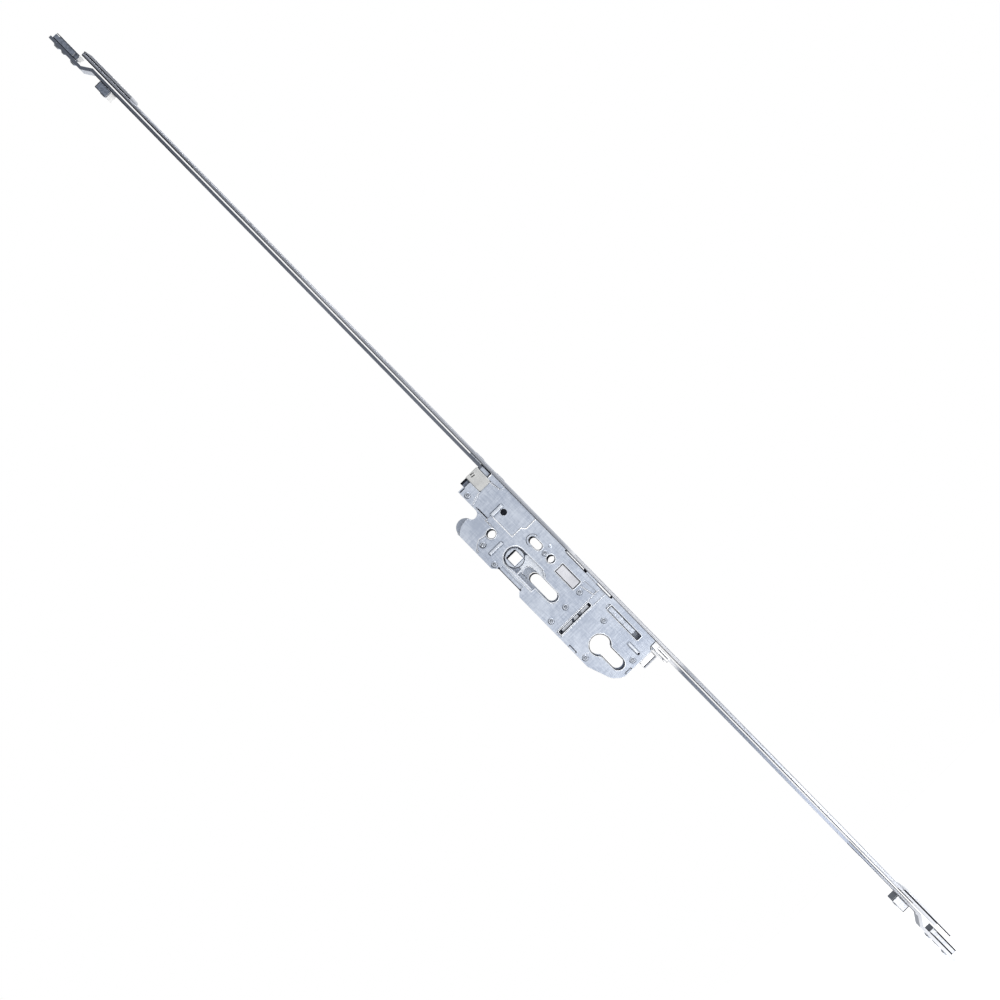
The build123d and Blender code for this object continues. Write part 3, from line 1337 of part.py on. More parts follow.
pieces = {
    "faceplate": faceplate,
    "case_base": case_base,
    "case_cover": case_cover,
    "hub": hub,
    "hub_slide": hub_slide,
    "hub_spring": hub_spring,
    "drive_pinion": drive_pinion,
    "pinion_pin": pinion_pin,
    "upper_slide": upper_slide,
    "lower_slide": lower_slide,
    "lower_driver": lower_driver,
    "driver_rivets": driver_rivets,
    "upper_drive_rod": upper_drive_rod,
    "lower_drive_rod": lower_drive_rod,
    "upper_coupling": upper_coupling,
    "lower_coupling": lower_coupling,
    "upper_coupling_rivets": upper_coupling_rivets,
    "lower_coupling_rivets": lower_coupling_rivets,
    "upper_rod_guide": guides["upper"],
    "lower_rod_guide": guides["lower"],
    "upper_guide_rivet": guide_rivets["upper"],
    "lower_guide_rivet": guide_rivets["lower"],
    "upper_end_plate": end_plates["upper"],
    "lower_end_plate": end_plates["lower"],
    "upper_plate_screws": upper_plate_screw_set,
    "lower_plate_screw": lower_plate_screw_set,
    "faceplate_screws": face_screw_set,
    "rod_spacer": rod_spacer,
    "lock_slide": lock_slide,
    "cylinder_lever": cylinder_lever,
    "lever_pin": lever_pin,
    "case_posts": case_posts,
    "cover_rivets": cover_rivets,
    "top_clip": top_clip,
    "top_block": top_block,
    "bottom_block": bottom_block,
    "bottom_plate": bottom_plate,
    "window_plate": window_plate,
}
for piece_name, piece in pieces.items():
    piece.part.label = piece_name
    export_step(piece.part, f"parts/{piece_name}.step")
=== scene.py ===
import json
import math

import bmesh
import bpy
from mathutils import Matrix, Vector


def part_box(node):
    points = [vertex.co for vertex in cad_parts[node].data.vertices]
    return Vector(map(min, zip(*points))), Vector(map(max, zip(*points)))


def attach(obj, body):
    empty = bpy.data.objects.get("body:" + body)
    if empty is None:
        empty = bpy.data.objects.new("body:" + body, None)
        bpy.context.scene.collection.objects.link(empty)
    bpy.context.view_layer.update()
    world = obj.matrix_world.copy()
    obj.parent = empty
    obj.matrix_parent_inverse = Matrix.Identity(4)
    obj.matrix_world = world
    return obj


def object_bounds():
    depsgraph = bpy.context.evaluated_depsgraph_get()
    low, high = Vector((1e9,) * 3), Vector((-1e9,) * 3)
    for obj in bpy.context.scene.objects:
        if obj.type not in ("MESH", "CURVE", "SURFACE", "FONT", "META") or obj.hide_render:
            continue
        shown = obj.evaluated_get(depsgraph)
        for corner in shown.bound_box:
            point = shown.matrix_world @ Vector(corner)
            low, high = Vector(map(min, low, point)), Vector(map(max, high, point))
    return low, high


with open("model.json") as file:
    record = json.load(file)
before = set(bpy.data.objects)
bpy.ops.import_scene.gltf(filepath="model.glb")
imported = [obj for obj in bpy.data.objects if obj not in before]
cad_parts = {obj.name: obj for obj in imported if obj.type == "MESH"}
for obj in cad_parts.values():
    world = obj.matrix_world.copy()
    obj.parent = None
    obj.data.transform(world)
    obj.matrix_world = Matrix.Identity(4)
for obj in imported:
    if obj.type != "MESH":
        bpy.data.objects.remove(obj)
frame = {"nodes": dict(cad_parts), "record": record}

cad_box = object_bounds()
nodes = frame["nodes"]

# The finishes, the small details, the light and the camera of a rod driving exit lock.
# Metres, in the lock's own frame: Z runs up the door, X out through the faceplate, the cover faces -Y.

MM = 0.001

# How far a softened normal leans before an edge gets its painted highlight, and where that painted highlight
# is full
EDGE_FROM = 0.02
EDGE_FULL = 0.2

# The near-black tones of painted shade in deep corners and hollows
DEEP_CORNER_SHADE = (0.03, 0.035, 0.05)
PORE_CORNER_SHADE = (0.05, 0.06, 0.08)

# Heights on the long bars, in metres: the stretch of painted light towards the foot and the stretch of
# painted shade towards the head
FOOT_END = -0.45
FOOT_START = -0.33
HEAD_START = 0.24
HEAD_FULL = 0.29


class Signal:
    """An output socket of a node network. Arithmetic on it adds Math nodes."""

    def __init__(self, network, socket):
        self.network = network
        self.socket = socket

    def maths(self, operation, first, second):
        return self.network.node("ShaderNodeMath", 0, {"operation": operation}, {0: first, 1: second})

    def __add__(self, other):
        return self.maths("ADD", self, other)

    def __radd__(self, other):
        return self.maths("ADD", other, self)

    def __sub__(self, other):
        return self.maths("SUBTRACT", self, other)

    def __rsub__(self, other):
        return self.maths("SUBTRACT", other, self)

    def __mul__(self, other):
        return self.maths("MULTIPLY", self, other)

    def __rmul__(self, other):
        return self.maths("MULTIPLY", other, self)


class Network:
    """A tree of nodes, and the one method that adds any node to it."""

    def __init__(self, tree):
        self.tree = tree

    def node(self, kind, output, settings, sockets):
        """Adds a node: its settings first, then the values or links of its sockets."""
        made = self.tree.nodes.new(kind)
        for setting, value in settings.items():
            setattr(made, setting, value)
        for place, value in sockets.items():
            self.feed(made.inputs[place], value)
        return Signal(self, made.outputs[output])

    def feed(self, socket, value):
        if isinstance(value, Signal):
            self.tree.links.new(value.socket, socket)
        elif socket.type == "RGBA":
            socket.default_value = (*value[:3], 1)
        else:
            socket.default_value = value

    def ramp(self, value, low, high):
        """0 below low and 1 above high, with a smooth step between."""
        settings = {"interpolation_type": "SMOOTHSTEP"}
        sockets = {"Value": value, "From Min": low, "From Max": high}
        return self.node("ShaderNodeMapRange", "Result", settings, sockets)

    def blend(self, share, first, second):
        """A colour between two others."""
        return self.node("ShaderNodeMix", 2, {"data_type": "RGBA"}, {0: share, 6: first, 7: second})


class Finish(Network):
    """A material of the lock, with the patterns that its finishes share."""

    def __init__(self, name, **constants):
        self.material = bpy.data.materials.new(name)
        self.material.use_nodes = True
        super().__init__(self.material.node_tree)
        self.shader = self.tree.nodes["Principled BSDF"]
        for words, value in constants.items():
            self.feed(self.shader.inputs[words.replace("_", " ").title().replace("Ior", "IOR")], value)

    def place(self, stretch):
        """The point's place in metres, stretched along each axis."""
        at = self.node("ShaderNodeTexCoord", "Object", {}, {})
        return self.node("ShaderNodeVectorMath", 0, {"operation": "MULTIPLY"}, {0: at, 1: stretch})

    def noise(self, scale, detail=2.0, stretch=(1, 1, 1)):
        sockets = {"Vector": self.place(stretch), "Scale": scale, "Detail": detail}
        return self.node("ShaderNodeTexNoise", "Fac", {}, sockets)

    def rounded(self, radius):
        """The normal with its edges softened."""
        return self.node("ShaderNodeBevel", 0, {"samples": 4}, {"Radius": radius})

    def edges(self, radius):
        """How much a point lies on a sharp edge, worked out from the softened normal."""
        true = self.node("ShaderNodeNewGeometry", "Normal", {}, {})
        settings = {"operation": "DOT_PRODUCT"}
        same = self.node("ShaderNodeVectorMath", "Value", settings, {0: self.rounded(radius), 1: true})
        return self.ramp(1 - same, EDGE_FROM, EDGE_FULL)

    def facing(self, way):
        """1 on faces that look one way, 0 and less on the others."""
        true = self.node("ShaderNodeNewGeometry", "Normal", {}, {})
        return self.node("ShaderNodeVectorMath", "Value", {"operation": "DOT_PRODUCT"}, {0: true, 1: way})

    def hollows(self, distance):
        """0 in the deep corners and 1 in the open."""
        return self.node("ShaderNodeAmbientOcclusion", "AO", {"samples": 6}, {"Distance": distance})

    def bump(self, height, distance, radius=0.3 * MM):
        sockets = {"Height": height, "Distance": distance, "Normal": self.rounded(radius)}
        return self.node("ShaderNodeBump", 0, {}, sockets)

    def cover(self, colour, roughness, normal):
        """Feeds what varies over the surface, and gives the material."""
        self.feed(self.shader.inputs["Base Color"], colour)
        self.feed(self.shader.inputs["Roughness"], roughness)
        self.feed(self.shader.inputs["Normal"], normal)
        return self.material


def zinc_case_finish(name, dull, bright):
    """Zinc plated sheet: a cool satin grey with a fine woven grain, a painted highlight on its edges and
    painted shade in its corners.
    """
    finish = Finish(name, metallic=0.8)
    cloud = finish.noise(38, 3)
    grain_up = finish.noise(950, 2, (1, 1, 0.12))
    grain_across = finish.noise(950, 2, (0.12, 1, 1))
    spangle = finish.noise(420, 2)
    edge = finish.edges(0.5 * MM)
    corner = finish.hollows(1.6 * MM)
    weave = grain_up * 0.4 + grain_across * 0.4 + spangle * 0.2
    tone = finish.ramp(cloud * 0.4 + weave * 0.6, 0.38, 0.62)
    sheet = finish.blend(tone, dull, bright)
    # Painted highlight on the edges, then painted shade in the corners
    with_edge_highlight = finish.blend(edge * 0.8, sheet, (0.97, 0.98, 1.0))
    colour = finish.blend(finish.ramp(corner, 0.35, 0.93), (0.04, 0.05, 0.08), with_edge_highlight)
    roughness = 0.34 + weave * 0.16
    return finish.cover(colour, roughness, finish.bump(weave, 0.03 * MM))


def rolled_steel_finish(name, dull, bright, painted_light_from=1.0, painted_light_to=1.0):
    """Zinc plated bar with faint lines along its length. Its cover side has stretches of painted light and
    painted shade; its edges get a painted highlight and its corners painted shade.
    """
    finish = Finish(name, metallic=0.95)
    height = finish.node("ShaderNodeSeparateXYZ", "Z", {}, {"Vector": finish.place((1, 1, 1))})
    fade = 0.012
    above_start = finish.ramp(height, painted_light_from - fade, painted_light_from)
    above_end = finish.ramp(height, painted_light_to, painted_light_to + fade)
    painted_light_band = above_start - above_end
    painted_light_foot = 1 - finish.ramp(height, FOOT_END, FOOT_START)
    painted_shade_head = finish.ramp(height, HEAD_START, HEAD_FULL)
    edge_on = finish.ramp(finish.facing((0, -1, 0)), 0.5, 0.8)
    lines = finish.noise(2600, 2, (1, 1, 0.02))
    cloud = finish.noise(30, 2, (1, 1, 0.3))
    edge = finish.edges(0.45 * MM)
    corner = finish.hollows(3 * MM)
    tone = finish.ramp(lines * 0.5 + cloud * 0.5, 0.38, 0.62)
    bar = finish.blend(tone, dull, bright)
    # Painted light and shade on the cover side only, set by height: a lit band beside the case, a lit stretch
    # to the foot and a shaded one to the head
    pale = finish.blend((painted_light_band * 0.75 + painted_light_foot * 0.8) * edge_on, bar, (0.95, 0.96, 1.0))
    shaded = finish.blend(painted_shade_head * edge_on * 0.5, pale, (0.10, 0.11, 0.14))
    # Painted highlight on the edges, then painted shade in the corners
    with_edge_highlight = finish.blend(edge * 0.55, shaded, (0.9, 0.91, 0.93))
    colour = finish.blend(finish.ramp(corner, 0.2, 0.85), DEEP_CORNER_SHADE, with_edge_highlight)
    return finish.cover(colour, 0.26 + lines * 0.14, finish.bump(lines, 0.012 * MM))


def dark_zinc_finish(name, dull, bright, painted_end_tone, painted_end_way):
    """Cast zinc, slightly rough, with a painted highlight on its edges, painted shade in its corners, and end
    faces in a given tone: painted light when it is white, painted shade when it is dark.
    """
    finish = Finish(name, metallic=0.75)
    cast = finish.noise(700, 3)
    edge = finish.edges(0.4 * MM)
    corner = finish.hollows(2 * MM)
    block = finish.blend(finish.ramp(cast, 0.35, 0.65), dull, bright)
    # The end faces that look along the given way get the given tone: painted light when it is white, painted
    # shade when it is dark
    cut = finish.blend(finish.ramp(finish.facing((0, 0, painted_end_way)), 0.6, 0.8), block, painted_end_tone)
    # Painted highlight on the edges, then painted shade in the corners
    with_edge_highlight = finish.blend(edge * 0.6, cut, (0.82, 0.84, 0.88))
    colour = finish.blend(finish.ramp(corner, 0.2, 0.8), DEEP_CORNER_SHADE, with_edge_highlight)
    return finish.cover(colour, 0.4 + cast * 0.2, finish.bump(cast, 0.03 * MM))


def sintered_steel_finish(name, dull, bright):
    """Pressed and sintered steel: the hub, the gears and the slides, a little darker in their pores, with a
    painted highlight on their edges and painted shade in their corners.
    """
    finish = Finish(name, metallic=0.85)
    pores = finish.noise(1100, 3)
    edge = finish.edges(0.4 * MM)
    corner = finish.hollows(1.6 * MM)
    part = finish.blend(finish.ramp(pores, 0.3, 0.6), dull, bright)
    # Painted highlight on the edges, then painted shade in the corners
    with_edge_highlight = finish.blend(edge * 0.7, part, (0.94, 0.95, 0.97))
    colour = finish.blend(finish.ramp(corner, 0.05, 0.55), PORE_CORNER_SHADE, with_edge_highlight)
    return finish.cover(colour, 0.3 + pores * 0.15, finish.bump(pores, 0.015 * MM))


def pale_plastic_finish(name, dull, bright):
    """Moulded plastic, light grey with a soft sheen, a painted highlight on its edges and painted shade in
    its corners.
    """
    finish = Finish(name, metallic=0.0)
    cloud = finish.noise(120, 2)
    grain = finish.noise(2400, 2)
    edge = finish.edges(0.4 * MM)
    corner = finish.hollows(1.5 * MM)
    moulding = finish.blend(finish.ramp(cloud, 0.35, 0.65), dull, bright)
    # Painted highlight on the edges, then painted shade in the corners
    lit = finish.blend(edge * 0.5, moulding, (0.90, 0.90, 0.90))
    colour = finish.blend(finish.ramp(corner, 0.1, 0.8), (0.10, 0.10, 0.11), lit)
    return finish.cover(colour, 0.45 + cloud * 0.1, finish.bump(grain, 0.01 * MM))


def rivet_steel_finish():
    """Upset rivets and screw heads, with painted shade in their dishes and a painted highlight on their rims.
    """
    finish = Finish("rivet_steel_finish", metallic=0.9)
    marks = finish.noise(1400, 2)
    edge = finish.edges(0.3 * MM)
    corner = finish.hollows(1.0 * MM)
    head = finish.blend(finish.ramp(marks, 0.35, 0.65), (0.38, 0.42, 0.50), (0.66, 0.70, 0.77))
    # Painted highlight on the rims, then painted shade in the dishes
    with_edge_highlight = finish.blend(edge * 0.6, head, (0.95, 0.96, 0.98))
    colour = finish.blend(finish.ramp(corner, 0.3, 0.9), PORE_CORNER_SHADE, with_edge_highlight)
    return finish.cover(colour, 0.27 + marks * 0.12, finish.bump(marks, 0.012 * MM))


def painted_shadow_finish():
    """Near-black painted shadow for gaps, hole walls and lines, a little lighter in spots."""
    finish = Finish("painted_shadow_finish", metallic=0.0, specular_ior_level=0.08)
    mottle = finish.noise(900, 2)
    colour = finish.blend(finish.ramp(mottle, 0.3, 0.7), (0.004, 0.005, 0.008), (0.012, 0.014, 0.02))
    return finish.cover(colour, 0.55 + mottle * 0.2, finish.bump(mottle, 0.01 * MM, 0.1 * MM))


# Copies of the sheet's finish in other tones: a near-white one for painted highlights on edges, tabs and the
# driver, and for the pale face of the foot block; a lighter one for the painted highlight on lips, crowns and
# lit flanks; a dark one for painted shade in creases and lines
bright_edge = zinc_case_finish("bright_edge_finish", (0.88, 0.90, 0.94), (1.0, 1.0, 1.0))
lip_finish = zinc_case_finish("rolled_lip_finish", (0.62, 0.66, 0.73), (0.78, 0.81, 0.86))
crease_shade = zinc_case_finish("crease_shade_finish", (0.20, 0.23, 0.30), (0.30, 0.33, 0.41))
painted_shadow = painted_shadow_finish()

finishes = {
    "zinc_case": zinc_case_finish("zinc_case_finish", (0.42, 0.47, 0.57), (0.61, 0.66, 0.75)),
    "rolled_steel": rolled_steel_finish("rolled_steel_finish", (0.36, 0.38, 0.43), (0.52, 0.54, 0.59)),
    # Its end faces that look down get white: painted light
    "dark_zinc": dark_zinc_finish(
        "dark_zinc_finish", (0.12, 0.14, 0.18), (0.20, 0.225, 0.28), painted_end_tone=(1.0, 1.0, 1.0), painted_end_way=-1
    ),
    "sintered_steel": sintered_steel_finish("sintered_steel_finish", (0.46, 0.51, 0.61), (0.70, 0.75, 0.84)),
    "pale_plastic": pale_plastic_finish("clip_finish", (0.40, 0.405, 0.405), (0.47, 0.475, 0.47)),
    "rivet_steel": rivet_steel_finish(),
}

# Every carried-over node gets the finish of its slot, and a few have one of their own
# The rods and the faceplate get a band of painted light on their cover side where they pass the case's lower
# part
rod_finish = rolled_steel_finish(
    "rod_finish", (0.14, 0.16, 0.20), (0.22, 0.24, 0.29), painted_light_from=-0.140, painted_light_to=-0.06
)
faceplate_finish = rolled_steel_finish(
    "faceplate_finish", (0.34, 0.36, 0.41), (0.50, 0.52, 0.57), painted_light_from=-0.139, painted_light_to=-0.03
)
plate_finish = rolled_steel_finish("end_plate_finish", (0.46, 0.48, 0.53), (0.64, 0.66, 0.71))
# A painted light copy of the dark zinc for the lower coupling and guide, with painted shade on its end faces
# that look up
painted_light_zinc = dark_zinc_finish(
    "painted_light_zinc_finish", (0.72, 0.75, 0.82), (0.92, 0.94, 0.98), painted_end_tone=(0.05, 0.06, 0.08), painted_end_way=1
)
# A painted light copy of the sintered steel for the hub slide and the cylinder lever, which lie deep in shade
painted_light_slide = sintered_steel_finish("painted_light_slide_finish", (0.66, 0.71, 0.82), (0.90, 0.94, 1.0))
own_finishes = {
    "hub_slide": painted_light_slide,
    "cylinder_lever": painted_light_slide,
    "lower_coupling": painted_light_zinc,
    "lower_rod_guide": painted_light_zinc,
    "faceplate": faceplate_finish,
    "upper_drive_rod": rod_finish,
    "lower_drive_rod": rod_finish,
    "upper_end_plate": plate_finish,
    "lower_end_plate": plate_finish,
    # The lower driver in the near-white finish: a painted highlight
    "lower_driver": bright_edge,
    "bottom_block": pale_plastic_finish("bottom_block_finish", (0.90, 0.90, 0.92), (1.0, 1.0, 1.0)),
    "window_plate": pale_plastic_finish("window_plate_finish", (0.48, 0.485, 0.52), (0.56, 0.565, 0.60)),
}
for row in frame["record"]["subparts"]:
    piece = nodes[row["node"]]
    piece.data.materials.clear()
    piece.data.materials.append(own_finishes.get(row["node"], finishes[row["material_slot"]]))


def arc(x, z, radius, start=0, sweep=360, steps=32):
    """Points on a circle or a part of one, in millimetres, from the faceplate's side upwards."""
    last = steps if sweep == 360 else steps - 1
    angles = [math.radians(start + sweep * index / last) for index in range(steps)]
    return [(x + radius * math.cos(angle), z + radius * math.sin(angle)) for angle in angles]


def rounded_box(x_low, x_high, z_low, z_high, radius, steps=7):
    """The outline of an upright box with round corners."""
    corners = [
        (x_high - radius, z_high - radius, 0),
        (x_low + radius, z_high - radius, 90),
        (x_low + radius, z_low + radius, 180),
        (x_high - radius, z_low + radius, 270),
    ]
    return [point for x, z, start in corners for point in arc(x, z, radius, start, 90, steps)]


def shifted(path, distance, closed):
    """The path moved sideways: outward where it runs round anticlockwise."""
    moved = []
    for index, point in enumerate(path):
        here = Vector(point)
        steps = []
        if closed or index > 0:
            steps.append(here - Vector(path[index - 1]))
        if closed or index < len(path) - 1:
            steps.append(Vector(path[(index + 1) % len(path)]) - here)
        normals = [Vector((step.y, -step.x)).normalized() for step in steps]
        normal = sum(normals, Vector((0, 0))).normalized()
        moved.append(here + normal * distance / max(normal.dot(normals[0]), 0.4))
    return moved


def skin(name, rows, body, finish, round_path=True, round_section=True):
    """A closed piece whose surface runs through rows of points, given in millimetres."""
    form = bmesh.new()
    grid = [[form.verts.new(Vector(point) * MM) for point in row] for row in rows]
    count = len(grid[0])
    pairs = list(zip(grid, grid[1:]))
    if round_section:
        pairs.append((grid[-1], grid[0]))
    for first, second in pairs:
        for index in range(count if round_path else count - 1):
            after = (index + 1) % count
            form.faces.new((first[index], first[after], second[after], second[index]))
    if not round_section:
        form.faces.new(grid[0])
        form.faces.new(grid[-1])
    if not round_path:
        form.faces.new([row[0] for row in grid])
        form.faces.new([row[-1] for row in grid])
    bmesh.ops.recalc_face_normals(form, faces=form.faces)
    data = bpy.data.meshes.new(name)
    form.to_mesh(data)
    form.free()
    data.materials.append(finish)
    piece = bpy.data.objects.new(name, data)
    bpy.context.scene.collection.objects.link(piece)
    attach(piece, body)


def band(name, path, section, finish, closed=True, body="case"):
    """A strip of one section, given as sideways distances and depths, along a path on the cover."""
    rows = [[(x, depth, z) for x, z in shifted(path, side, closed)] for side, depth in section]
    skin(name, rows, body, finish, round_path=closed)


def plate(name, outline, front, rear, finish, body="case", bevel=0.15):
    """A flat piece with a bevelled front edge."""
    levels = [(0, rear), (0, front + bevel), (-bevel, front)]
    rows = [[(x, depth, z) for x, z in shifted(outline, side, True)] for side, depth in levels]
    skin(name, rows, body, finish, round_section=False)


COVER = -7.5
FIELD_LEVEL = -7.1
LOBE_LEVEL = -7.85


def lip(name, outline, level=COVER, width=0.75, rise=0.14):
    """The rolled lip round an opening, in a lighter tone: a painted highlight."""
    section = [(0.02, level + 0.1), (0.02, level - rise * 0.5), (width * 0.35, level - rise)]
    section += [(width * 0.75, level - rise * 0.6), (width, level + 0.1)]
    band(name, outline, section, lip_finish)


def gap_line(name, path, width=0.5, level=COVER, rise=0.04, closed=False, body="case"):
    """A narrow near-black line of painted shadow where two surfaces meet."""
    half = width / 2
    section = [(-half, level + 0.2), (-half, level), (-half * 0.4, level - rise)]
    section += [(half * 0.4, level - rise), (half, level), (half, level + 0.2)]
    band(name, path, section, painted_shadow, closed=closed, body=body)


def wall(name, outline, width=0.5, front=-7.52, rear=-6.1):
    """The cut edge inside an opening, in near-black painted shadow."""
    band(name, outline, [(0.05, front), (-width, front + 0.1), (-width, rear), (0.05, rear)], painted_shadow)


def crescent(name, x, z, radius, shift, front, rear, body="case"):
    """Near-black painted shadow on the upper edge of a round hole, as high as its shift."""
    outer = arc(x, z, radius, 0, 180, 17)
    inner = arc(x, z - shift, radius, 0, 180, 17)
    section = [(outer, rear), (outer, front), (inner, front), (inner, rear)]
    rows = [[(along, depth, rise) for along, rise in line] for line, depth in section]
    skin(name, rows, body, painted_shadow, round_path=False)


# The openings of the cover: a lip with a painted highlight on the sheet, and painted shadow on the cut edge
# inside it
window_outline = rounded_box(14.5, 23.1, -47.9, -28.1, 0.5)
long_slot_outline = rounded_box(22.3, 27.25, -109.2, -76.4, 0.9)
cross_slot_outline = rounded_box(-15.5, 16.3, -66.1, -62.7, 0.6)
handle_outline = arc(0, 25.5, 3.8)
side_outline = arc(18.9, -19.5, 3.4)
front_slot_outline = rounded_box(15.7, 22.1, -9.3, 3.4, 3.19, 12)
cylinder_z = -92.0
cylinder_radius = 8.6
lobe_half = 5.1
lobe_turn = math.degrees(math.asin(lobe_half / cylinder_radius))
cylinder_outline = arc(0, cylinder_z, cylinder_radius, lobe_turn - 90, 360 - 2 * lobe_turn, 40)
lobe_z = -111.5
cylinder_outline += arc(0, lobe_z, lobe_half, 180, 180, 17)
passage_outline = arc(0, 0, 8.9, 0, 180, 25) + [(-8.9, -26.6), (-5.0, -26.9), (-4.9, -40.6)]
passage_outline += arc(0, -40.6, 4.6, 180, 180, 17) + [(4.9, -27.4), (6.6, -24.6), (8.9, -21.4)]

lip("window_lip", window_outline)
lip("long_slot_lip", long_slot_outline)
lip("cross_slot_lip", cross_slot_outline)
lip("handle_hole_lip", handle_outline, LOBE_LEVEL)
lip("side_hole_lip", side_outline)
lip("front_slot_lip", front_slot_outline)
lip("cylinder_lip", cylinder_outline)
lip("passage_lip", passage_outline)
wall("window_wall", window_outline, 0.65, -7.52, -7.0)
wall("long_slot_wall", long_slot_outline)
wall("cross_slot_wall", cross_slot_outline)
wall("front_slot_wall", front_slot_outline, 0.25)
wall("side_hole_wall", side_outline, 0.25)
wall("handle_hole_wall", handle_outline, 0.25, -7.6)
wall("cylinder_wall", cylinder_outline, 0.5)
# Painted shadows on the upper edges of the round holes, and on the floor of the blind hole
crescent("handle_hole_shade", 0, 25.5, 3.75, 1.7, -7.0, -6.1)
crescent("side_hole_shade", 18.9, -19.5, 3.35, 1.7, -7.0, -6.1)
crescent("front_slot_shade", 18.9, 0.2, 3.15, 1.7, -7.0, -6.1)
plate("blind_hole_floor", arc(18.2, 30.6, 2.58), -6.95, -6.4, painted_shadow, bevel=0.05)

# The half rim round the front slot's upper end, as painted shadow lines
gap_line("front_rim_line", arc(18.9, 0.2, 4.8, 0, 180, 17), 0.45)
gap_line("front_rim_inner_line", arc(18.9, 0.2, 3.9, 10, 160, 15), 0.3, COVER - 0.25)

# The edges of the pressed fields and the creases between them, with a painted highlight on the field's edge
# and painted shadow lines
field_edge = [(31.9, 9.6), (21.2, 9.6), (18.9, 12.6), (9.5, 12.6), (9.5, 35.0)]
slope = [(-0.45, FIELD_LEVEL + 0.1), (-0.4, FIELD_LEVEL)]
slope += [(0.05, COVER - 0.06), (0.5, COVER - 0.04), (0.6, COVER + 0.1)]
band("field_edge", field_edge, slope, bright_edge, closed=False)
gap_line("field_edge_line", shifted(field_edge, -0.6, False), 0.25, FIELD_LEVEL, 0.02)
gap_line("upper_slit_line", [(6.1, 46.0), (6.1, 35.6)], 0.75)


def crease(name, path, level=COVER, width=0.45, body="case"):
    """A shallow fold in the sheet: one flank in painted shade and the other in a painted highlight."""
    half = width / 2
    shade_side = [(-half * 2, level + 0.1), (-half * 2, level - 0.02), (0, level - 0.09), (0, level + 0.1)]
    lit_side = [(0.01, level + 0.1), (0.01, level - 0.09), (half * 2, level - 0.02), (half * 2, level + 0.1)]
    band(name + "_shade_side", path, shade_side, crease_shade, closed=False, body=body)
    band(name + "_lit_side", path, lit_side, lip_finish, closed=False, body=body)


crease("upper_slit_step", [(6.1, 35.8), (4.3, 35.6), (4.2, 26.2)], LOBE_LEVEL, 0.3)
crease("upper_front_crease", [(26.5, 54.0), (28.2, 44.6), (31.9, 43.4)], FIELD_LEVEL)
crease("upper_rear_crease", [(15.1, 54.0), (9.8, 52.8), (5.3, 50.5)])
crease("lobe_curve", [(-3.9, 27.9), (-9.6, 28.8)] + arc(-7.4, 19.2, 9.7, 112, 50, 8), LOBE_LEVEL, 0.5)
crease("small_field_edge", [(26.5, -61.5), (23.2, -61.5), (20.4, -49.6)])
crease("channel_upper_edge", [(29.3, -61.6), (-16.6, -61.6)], width=0.3)
crease("channel_lower_edge", [(-16.6, -67.2), (29.3, -67.2)], width=0.3)
crease("lower_rear_crease", arc(-14.5, -94.5, 6.0, 40, 60, 8), width=0.3)
# Painted shadow lines and dots at the folds and notches
gap_line("waist_fold", [(-14.2, 2.8), (-14.2, -19.9)], 0.45)
plate("waist_fold_upper_dot", arc(-13.9, 2.9, 0.8, steps=12), -7.62, -7.3, painted_shadow, bevel=0.1)
plate("waist_fold_lower_dot", arc(-13.9, -20.2, 0.7, steps=12), -7.62, -7.3, painted_shadow, bevel=0.1)
gap_line("side_notch", [(-17.3, -75.9), (-16.2, -75.9), (-16.2, -83.5), (-17.3, -83.5)], 0.4)
gap_line("foot_notch", [(4.5, -121.4), (4.5, -120.2), (-1.5, -120.2), (-1.5, -121.4)], 0.35)


def pressed_rib(name, x_low, x_high, z_low, z_high, foot):
    """A raised rib: its crown in a painted highlight and a painted shadow line round its foot."""
    plate(name + "_crown", rounded_box(x_low, x_high, z_low, z_high, 0.5), -8.06, -7.6, lip_finish, bevel=0.2)
    margin = 0.75
    foot_outline = rounded_box(x_low - margin, x_high + margin, z_low - margin, z_high + margin, 0.8)
    gap_line(name + "_foot_line", foot_outline, 0.3, foot, closed=True)


pressed_rib("upper_rib", 10.3, 20.5, 34.3, 36.1, FIELD_LEVEL)
pressed_rib("handle_rib", -11.2, 1.0, 14.3, 15.9, COVER)
pressed_rib("lower_rib", 15.6, 17.0, -116.2, -106.2, COVER)
# A painted shadow dot at the lower rib's end
plate("lower_rib_dot", arc(16.2, -116.9, 0.95, steps=14), -8.15, -7.4, painted_shadow, bevel=0.2)

# The front tabs that hold the cover to the faceplate, in a painted highlight, with painted shadow lines, dots
# and gaps beside them
plate("upper_front_tab", rounded_box(30.9, 31.9, -42.4, -23.9, 0.3), -7.7, -7.4, bright_edge)
plate("lower_front_tab", rounded_box(30.6, 31.9, -71.2, -57.2, 0.3), -7.7, -7.4, bright_edge)
gap_line("upper_tab_line", [(30.5, -24.5), (30.5, -42.6)], 0.3)
gap_line("lower_tab_line", [(30.2, -57.0), (30.2, -71.0)], 0.3)
plate("upper_tab_dot", arc(31.4, -22.9, 0.6, steps=12), -7.65, -7.3, painted_shadow, bevel=0.1)
plate("middle_tab_gap", rounded_box(30.4, 32.0, -44.3, -42.8, 0.3), -7.65, -7.3, painted_shadow, bevel=0.1)
plate("lower_tab_gap", rounded_box(30.4, 32.0, -72.7, -71.3, 0.3), -7.65, -7.3, painted_shadow, bevel=0.1)

